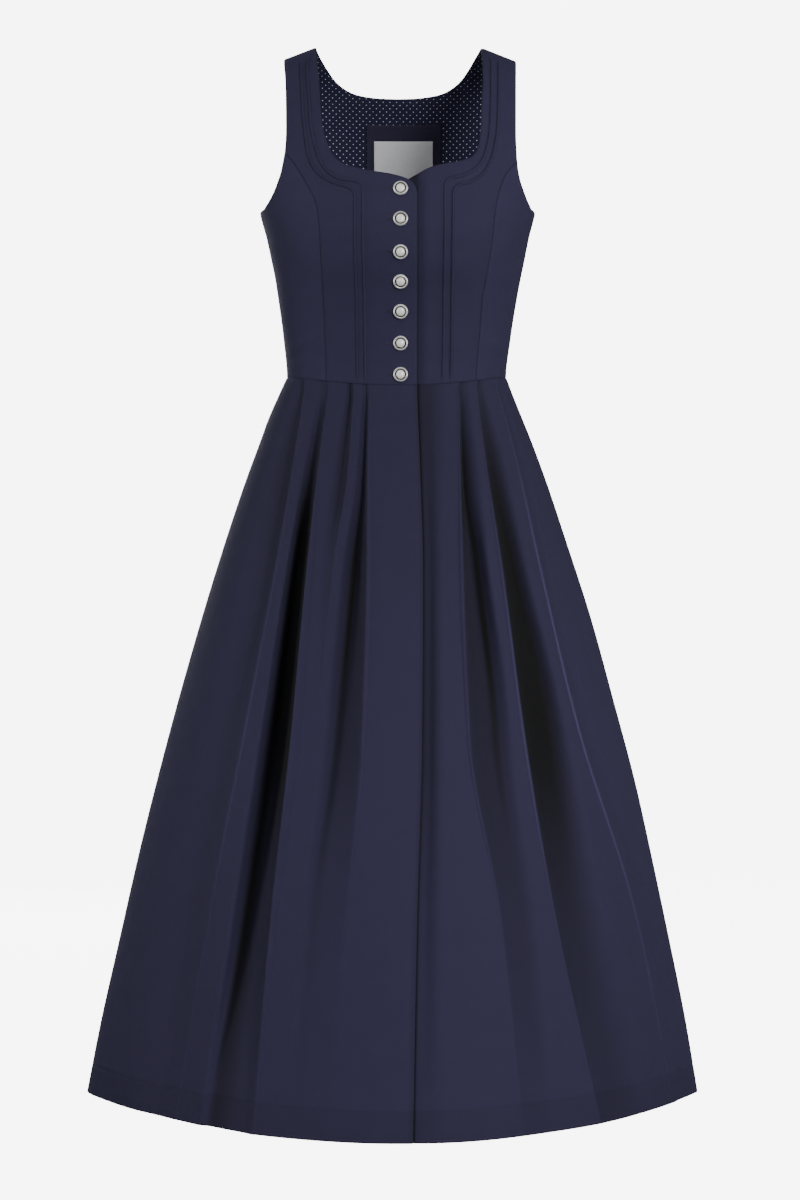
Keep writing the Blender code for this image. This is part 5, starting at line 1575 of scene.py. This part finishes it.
def skirt_piece(piece, looks, seed):
    shares = skirt_shares()
    way = 1 if piece == "back" else -1
    grid, across, painted_shade_rows = [], [], []
    for share in shares:
        level = WAIST_LEVEL + share * (HEM_LEVEL - WAIST_LEVEL)
        ring = skirt_ring(level)
        arc, points, outward = ring
        arcs, offsets, shades = skirt_columns(piece, level, ring).T
        whole = arc[-1] - arc[0]
        down = share * (WAIST_LEVEL - HEM_LEVEL)
        from_hem = WAIST_LEVEL - HEM_LEVEL - down
        calm = 1 - edge_share(arcs, CALM_REACH)
        offsets = offsets * (PRESSED + (1 - PRESSED) * smoothstep(0, PRESSED_REACH, down))
        sink = np.minimum(offsets, 0)
        offsets = offsets - sink + drape(arcs, level, seed) * calm
        at_edge = edge_share(arcs, ROLL_STEPS[-1])
        offsets = offsets - ROLL_DEPTH * at_edge**2 * (FRONT_ROLL if piece != "back" else 1.0)
        groove = max(0.0, 1 - abs(from_hem - HEM_DEPTH) / HEM_GROOVE_HALF)
        offsets = offsets - HEM_GROOVE * groove
        offsets = offsets - ROLL_DEPTH * max(0.0, 1 - from_hem / HEM_ROLL) ** 2
        offsets = offsets - ROLL_DEPTH * max(0.0, 1 - down / WAIST_ROLL) ** 2
        wrapped = (arcs - arc[0]) % whole + arc[0]
        place = np.stack([np.interp(wrapped, arc, points[:, i]) for i in (0, 1)], -1)
        away = np.stack([np.interp(wrapped, arc, outward[:, i]) for i in (0, 1)], -1)
        place = place + away * offsets[:, None] + np.outer(sink, (0, way))
        top = waist_height(place[:, 0], way) + SEAM_GAP / 2 - WAIST_SLIT
        grid.append(np.column_stack([place, top + share * (HEM_LEVEL - top)]))
        lengths = np.linalg.norm(np.diff(place, axis=0), axis=1)
        run = np.concatenate([[0], np.cumsum(lengths)])
        across.append(run - run[-1] if piece == "front_right" else run)
        # Painted shade in the hem's groove, along the seams and below the waist, added to that of the
        # folds and the lap; the hem band is a little darker
        band = HEM_DARK * smoothstep(HEM_DEPTH + HEM_LINE, HEM_DEPTH - HEM_LINE, from_hem)
        below_waist = WAIST_DARK * (1 - smoothstep(0, WAIST_DARK_REACH, down))
        painted_shade_rows.append(shades - GROOVE_DARK * groove - band - SEAM_DARK * at_edge - below_waist)
    grid, across, painted_shade_and_light = np.array(grid), np.array(across), np.array(painted_shade_rows)
    side = np.gradient(grid, axis=1)
    normals = np.stack([side[..., 1], -side[..., 0], np.zeros(grid.shape[:2])], -1)
    normals /= np.linalg.norm(normals, axis=-1, keepdims=True)
    # Where two pieces meet at the side, both ends face straight out
    for end in (0, -1):
        if abs(grid[-1, end, 1]) < SKIRT_WALL * 2:
            normals[:, end] = (math.copysign(1, grid[-1, end, 0]), 0, 0)
    outer = (grid + normals * SKIRT_WALL / 2).reshape(-1, 3)
    inner = (grid - normals * SKIRT_WALL / 2).reshape(-1, 3)
    rows, columns = grid.shape[:2]
    faces = [
        (a, a + columns, a + columns + 1, a + 1)
        for i in range(rows - 1)
        for a in range(i * columns, i * columns + columns - 1)
    ]
    chart = np.column_stack([across.ravel(), grid[..., 2].ravel(), np.full(rows * columns, seed)])
    name = f"skirt_{piece}_cloth"
    shell(name, outer, inner, faces, looks, chart, painted_shade_and_light.ravel())
    worn(name, f"skirt_{piece}")


# Buttons, buttonholes and stitches


def button_place(height):
    """Where a button sits on the right front, and the way it faces."""
    points, normals = flat_chart(-1)(to_flat([(BUTTON_X, height)]))
    point, normal = Vector(points[0]), Vector(normals[0])
    turn = normal.to_track_quat("Z", "Y").to_matrix().to_4x4()
    return Matrix.Translation(point + normal * BUTTON_SEAT) @ turn


def turned(name, profile, sides, place, look, ripple):
    """A solid turned about its own Z axis from rows (radius, height, hollow), closed on the axis."""
    points, faces, hollows = [], [], []
    for number, (radius, height, hollow) in enumerate(profile[1:-1]):
        for i in range(sides):
            angle = 2 * math.pi * i / sides
            out, up = ripple(number, angle) if ripple else (0.0, 0.0)
            wide = radius + out
            points.append((wide * math.cos(angle), wide * math.sin(angle), height + up))
            hollows.append(hollow)
    low, high = len(points), len(points) + 1
    points += [(0, 0, profile[0][1]), (0, 0, profile[-1][1])]
    hollows += [profile[0][2], profile[-1][2]]
    rings = len(profile) - 2
    for i in range(sides):
        j = (i + 1) % sides
        faces.append((low, j, i))
        for ring in range(rings - 1):
            a, b = ring * sides + i, ring * sides + j
            faces.append((a, b, b + sides, a + sides))
        last = (rings - 1) * sides
        faces.append((last + i, last + j, high))
    moved = [tuple(place @ Vector(point)) for point in points]
    mesh_object(name, moved, faces, (look,), None, {"hollow": hollows})


def rim_rows():
    """A button's metal rim: a foot, a milled ring, a dark groove, and an inner ring."""
    inner, outer = BUTTON_RIM_INNER, BUTTON_RADIUS
    base, top = BUTTON_BASE, BUTTON_RIM_HEIGHT
    # The third number is how dark the silver is there: tarnish, with painted shadow in the groove and
    # low on the foot
    return (
        (0.0, 0.0, 0.6),
        (outer - 0.0018, 0.0, 0.6),
        (outer - 0.0009, 0.0001, 0.5),
        (outer - 0.0003, 0.0006, 0.3),
        (outer - 0.0001, 0.0012, 0.1),
        (outer - 0.0001, 0.0018, 0.0),
        (outer - 0.0004, 0.0025, 0.0),
        (outer - 0.0009, 0.0031, -0.1),
        (outer - 0.0014, top, -0.2),
        (outer - 0.0019, 0.0031, 0.0),
        (outer - 0.0022, 0.0026, 1.3),
        (inner + 0.0006, 0.0025, 1.3),
        (inner + 0.0003, 0.0028, 1.2),
        (inner + 0.0001, 0.0026, 1.3),
        (inner, 0.0019, 1.0),
        (inner, base, 1.0),
        (0.0, base, 1.0),
    )


def milled(number, angle):
    """Fine slanting flutes on the outer ring."""
    first, last = MILLED_ROWS
    if not first <= number <= last:
        return 0.0, 0.0
    wave = math.cos(MILL_COUNT * angle + MILL_SLANT * number)
    return MILL_DEPTH[number == last] * wave, MILL_LIFT * wave


def pearl_rows():
    """A button's centre: a short upright wall under a dome."""
    base = BUTTON_BASE + SEAM_GAP
    rise = PEARL_HEIGHT - base - PEARL_WALL
    inset_by, lift = PEARL_FOOT
    rows = [(0.0, base, 1.0), (PEARL_RADIUS - inset_by, base, 1.0), (PEARL_RADIUS, base + lift, 1.0)]
    for i in range(PEARL_RINGS):
        turn = math.pi / 2 * i / PEARL_RINGS
        # Painted shade on the dome, darkest at its foot where it sinks into the rim
        shade = max(0.0, 1 - PEARL_RIM_SHADE * i / PEARL_RINGS)
        rows.append((PEARL_RADIUS * math.cos(turn), base + PEARL_WALL + rise * math.sin(turn), shade))
    rows.append((0.0, PEARL_HEIGHT, 0.0))
    return tuple(rows)


def buttons(metal, dome):
    for number, height in enumerate(BUTTON_HEIGHTS, 1):
        place = button_place(height)
        for part, slot, rows, sides, look, ripple in (
            ("rim", "silver", rim_rows(), RIM_SIDES, metal, milled),
            ("pearl", "pearl", pearl_rows(), PEARL_SIDES, dome, None),
        ):
            turned(f"button_{number}_{part}", rows, sides, place, look, ripple)
            worn(f"button_{number}_{part}", f"button_{part}_{number}", slot=slot)


def stitches(name, runs, look, thread_size, slot="cloth"):
    """Short raised threads, from the two ends of each stitch and the way out of the cloth there."""
    width, height = thread_size
    points, faces = [], []
    for start, end, out in runs:
        along = end - start
        across = np.cross(along, out)
        across *= width / 2 / np.linalg.norm(across)
        out = out / np.linalg.norm(out) * height
        base = len(points)
        points += [start + out * STITCH_ENDS, end + out * STITCH_ENDS]
        for share in STITCH_BENDS:
            middle = start + along * share
            points += [middle + across * aside + out * lift for aside, lift in STITCH_SECTION]
        first, second = [base + 2 + i for i in range(4)], [base + 6 + i for i in range(4)]
        for i in range(4):
            j = (i + 1) % 4
            faces.append((base, first[j], first[i]))
            faces.append((first[i], first[j], second[j], second[i]))
            faces.append((base + 1, second[i], second[j]))
    mesh_object(name, points, faces, (look,), sharp=80)
    worn(name, slot=slot)


def run_along(path, surface, lift, pitch, length):
    """Stitches along a line on a chart."""
    even = smooth_path(path, STITCH_SPACING)
    steps = np.concatenate([[0], np.cumsum(np.linalg.norm(np.diff(even, axis=0), axis=1))])
    starts = np.arange(0.0, steps[-1] - length, pitch)
    ends = []
    for where in (starts, starts + length):
        ends.append(np.stack([np.interp(where, steps, even[:, i]) for i in (0, 1)], -1))
    (a, out), (b, _) = surface(ends[0]), surface(ends[1])
    return list(zip(a + out * lift, b + out * lift, out))


def tuck_stitches(look):
    """The sewing at the foot of each pintuck."""
    runs = []
    for rows in (*TUCKS_RIGHT, *TUCKS_LEFT):
        path = beside(to_flat(smooth_path(rows)), TUCK_STITCH_AT * TUCK_HALF_WIDTH)
        runs += run_along(path[1:-1], flat_chart(-1), *TUCK_RUN)
    stitches("tuck_stitches", runs, look, TUCK_THREAD)


def inner_stitches(look, bright):
    """The patch is sewn on round its edge, and so is the label."""
    surface = flat_chart(1)

    def inward(chart):
        points, normals = surface(chart)
        return points, -normals

    below = BODICE_WALL + 2 * SEAM_GAP + LINING_WALL + PATCH_WALL
    for name, edges, lift, thread_look, slot in (
        ("patch_stitches", PATCH_EDGES, below, look, "cloth"),
        ("label_stitches", LABEL_EDGES, below + SEAM_GAP + PATCH_WALL, bright, "label"),
    ):
        low, high, top, foot = edges
        low, foot = low + PATCH_STITCH_INSET, foot + PATCH_STITCH_INSET
        high, top = high - PATCH_STITCH_INSET, top - PATCH_STITCH_INSET
        corners = ((low, top), (low, foot), (high, foot), (high, top), (low, top))
        runs = []
        for pair in zip(corners, corners[1:]):
            runs += run_along(to_flat(pair), inward, lift, *PATCH_RUN)
        stitches(name, runs, thread_look, PATCH_THREAD, slot)


def buttonholes(look):
    """A worked buttonhole beside each button: close bars of thread round a slit."""
    surface = flat_chart(-1)
    runs = []
    for height in BUTTON_HEIGHTS:
        x, y = to_flat([(BUTTON_X, height)])[0]
        far, near = x - HOLE_REACH, x + HOLE_NEAR
        bars = [
            [(across, y + sign * away) for away in HOLE_BAR]
            for sign in (-1, 1)
            for across in np.linspace(far, near, int(round((near - far) / HOLE_PITCH)))
        ]
        for turn in np.linspace(*HOLE_END_TURNS):
            way = np.array([-math.cos(turn), math.sin(turn)])
            bars.append([np.array([far, y]) + way * away for away in HOLE_END_BAR])
        for ends in bars:
            points, out = surface(np.array(ends))
            points = points + out * HOLE_LIFT
            runs.append((points[0], points[1], out[0]))
    stitches("buttonholes", runs, look, HOLE_THREAD)


# Stage


def stage():
    mesh = bpy.data.meshes.new("floor")
    corners = [(-1, -1), (1, -1), (1, 1), (-1, 1)]
    places = [(x * FLOOR_REACH, y * FLOOR_REACH, FLOOR_LEVEL) for x, y in corners]
    mesh.from_pydata(places, [], [(0, 1, 2, 3)])
    mesh.materials.append(plain_ground("floor"))
    floor = placed("floor", mesh)
    floor.visible_diffuse = False
    floor.visible_glossy = False
    world = bpy.data.worlds.new("studio")
    world.use_nodes = True
    ground = world.node_tree.nodes["Background"]
    ground.inputs["Color"].default_value = (1.0, 1.0, 1.0, 1.0)
    ground.inputs["Strength"].default_value = STUDIO_WHITE
    world.cycles_visibility.diffuse = False
    world.cycles_visibility.glossy = False
    bpy.context.scene.world = world
    for name, place, aim, width, height, power in LIGHTS:
        data = bpy.data.lights.new(name, "AREA")
        data.shape = "RECTANGLE"
        data.size, data.size_y = width, height
        data.energy = power
        made = placed(name, data)
        made.location = place
        made.rotation_mode = "QUATERNION"
        made.rotation_quaternion = (Vector(aim) - Vector(place)).to_track_quat("-Z", "Y")
        made.visible_camera = False


def camera():
    data = bpy.data.cameras.new("camera")
    data.sensor_width = SENSOR
    data.lens = SENSOR * CAMERA_DISTANCE / (IMAGE_HEIGHT * METRES_PER_PIXEL)
    made = placed("camera", data)
    made.location = (0, -CAMERA_DISTANCE, CAMERA_HEIGHT)
    made.rotation_euler = (math.pi / 2, 0, 0)
    bpy.context.scene.camera = made


def main():
    camera()
    stage()
    cloth = twill("navy_twill", CLOTH_COLOUR)
    lining = dotted("dotted_lining", LINING_COLOUR, DOT_COLOUR)
    label = satin("silver_satin", LABEL_COLOUR)
    navy = thread("navy_thread", THREAD_COLOUR)
    grey = thread("grey_thread", GREY_THREAD)
    fronts(cloth, lining)
    sides(cloth, lining)
    back(cloth, lining, label)
    for piece, seed in (("front_right", 10.0), ("front_left", 11.0), ("back", 12.0)):
        skirt_piece(piece, (cloth, cloth), seed)
    buttons(silver("antique_silver"), pearl("ivory_pearl"))
    tuck_stitches(navy)
    inner_stitches(navy, grey)
    buttonholes(navy)


main()
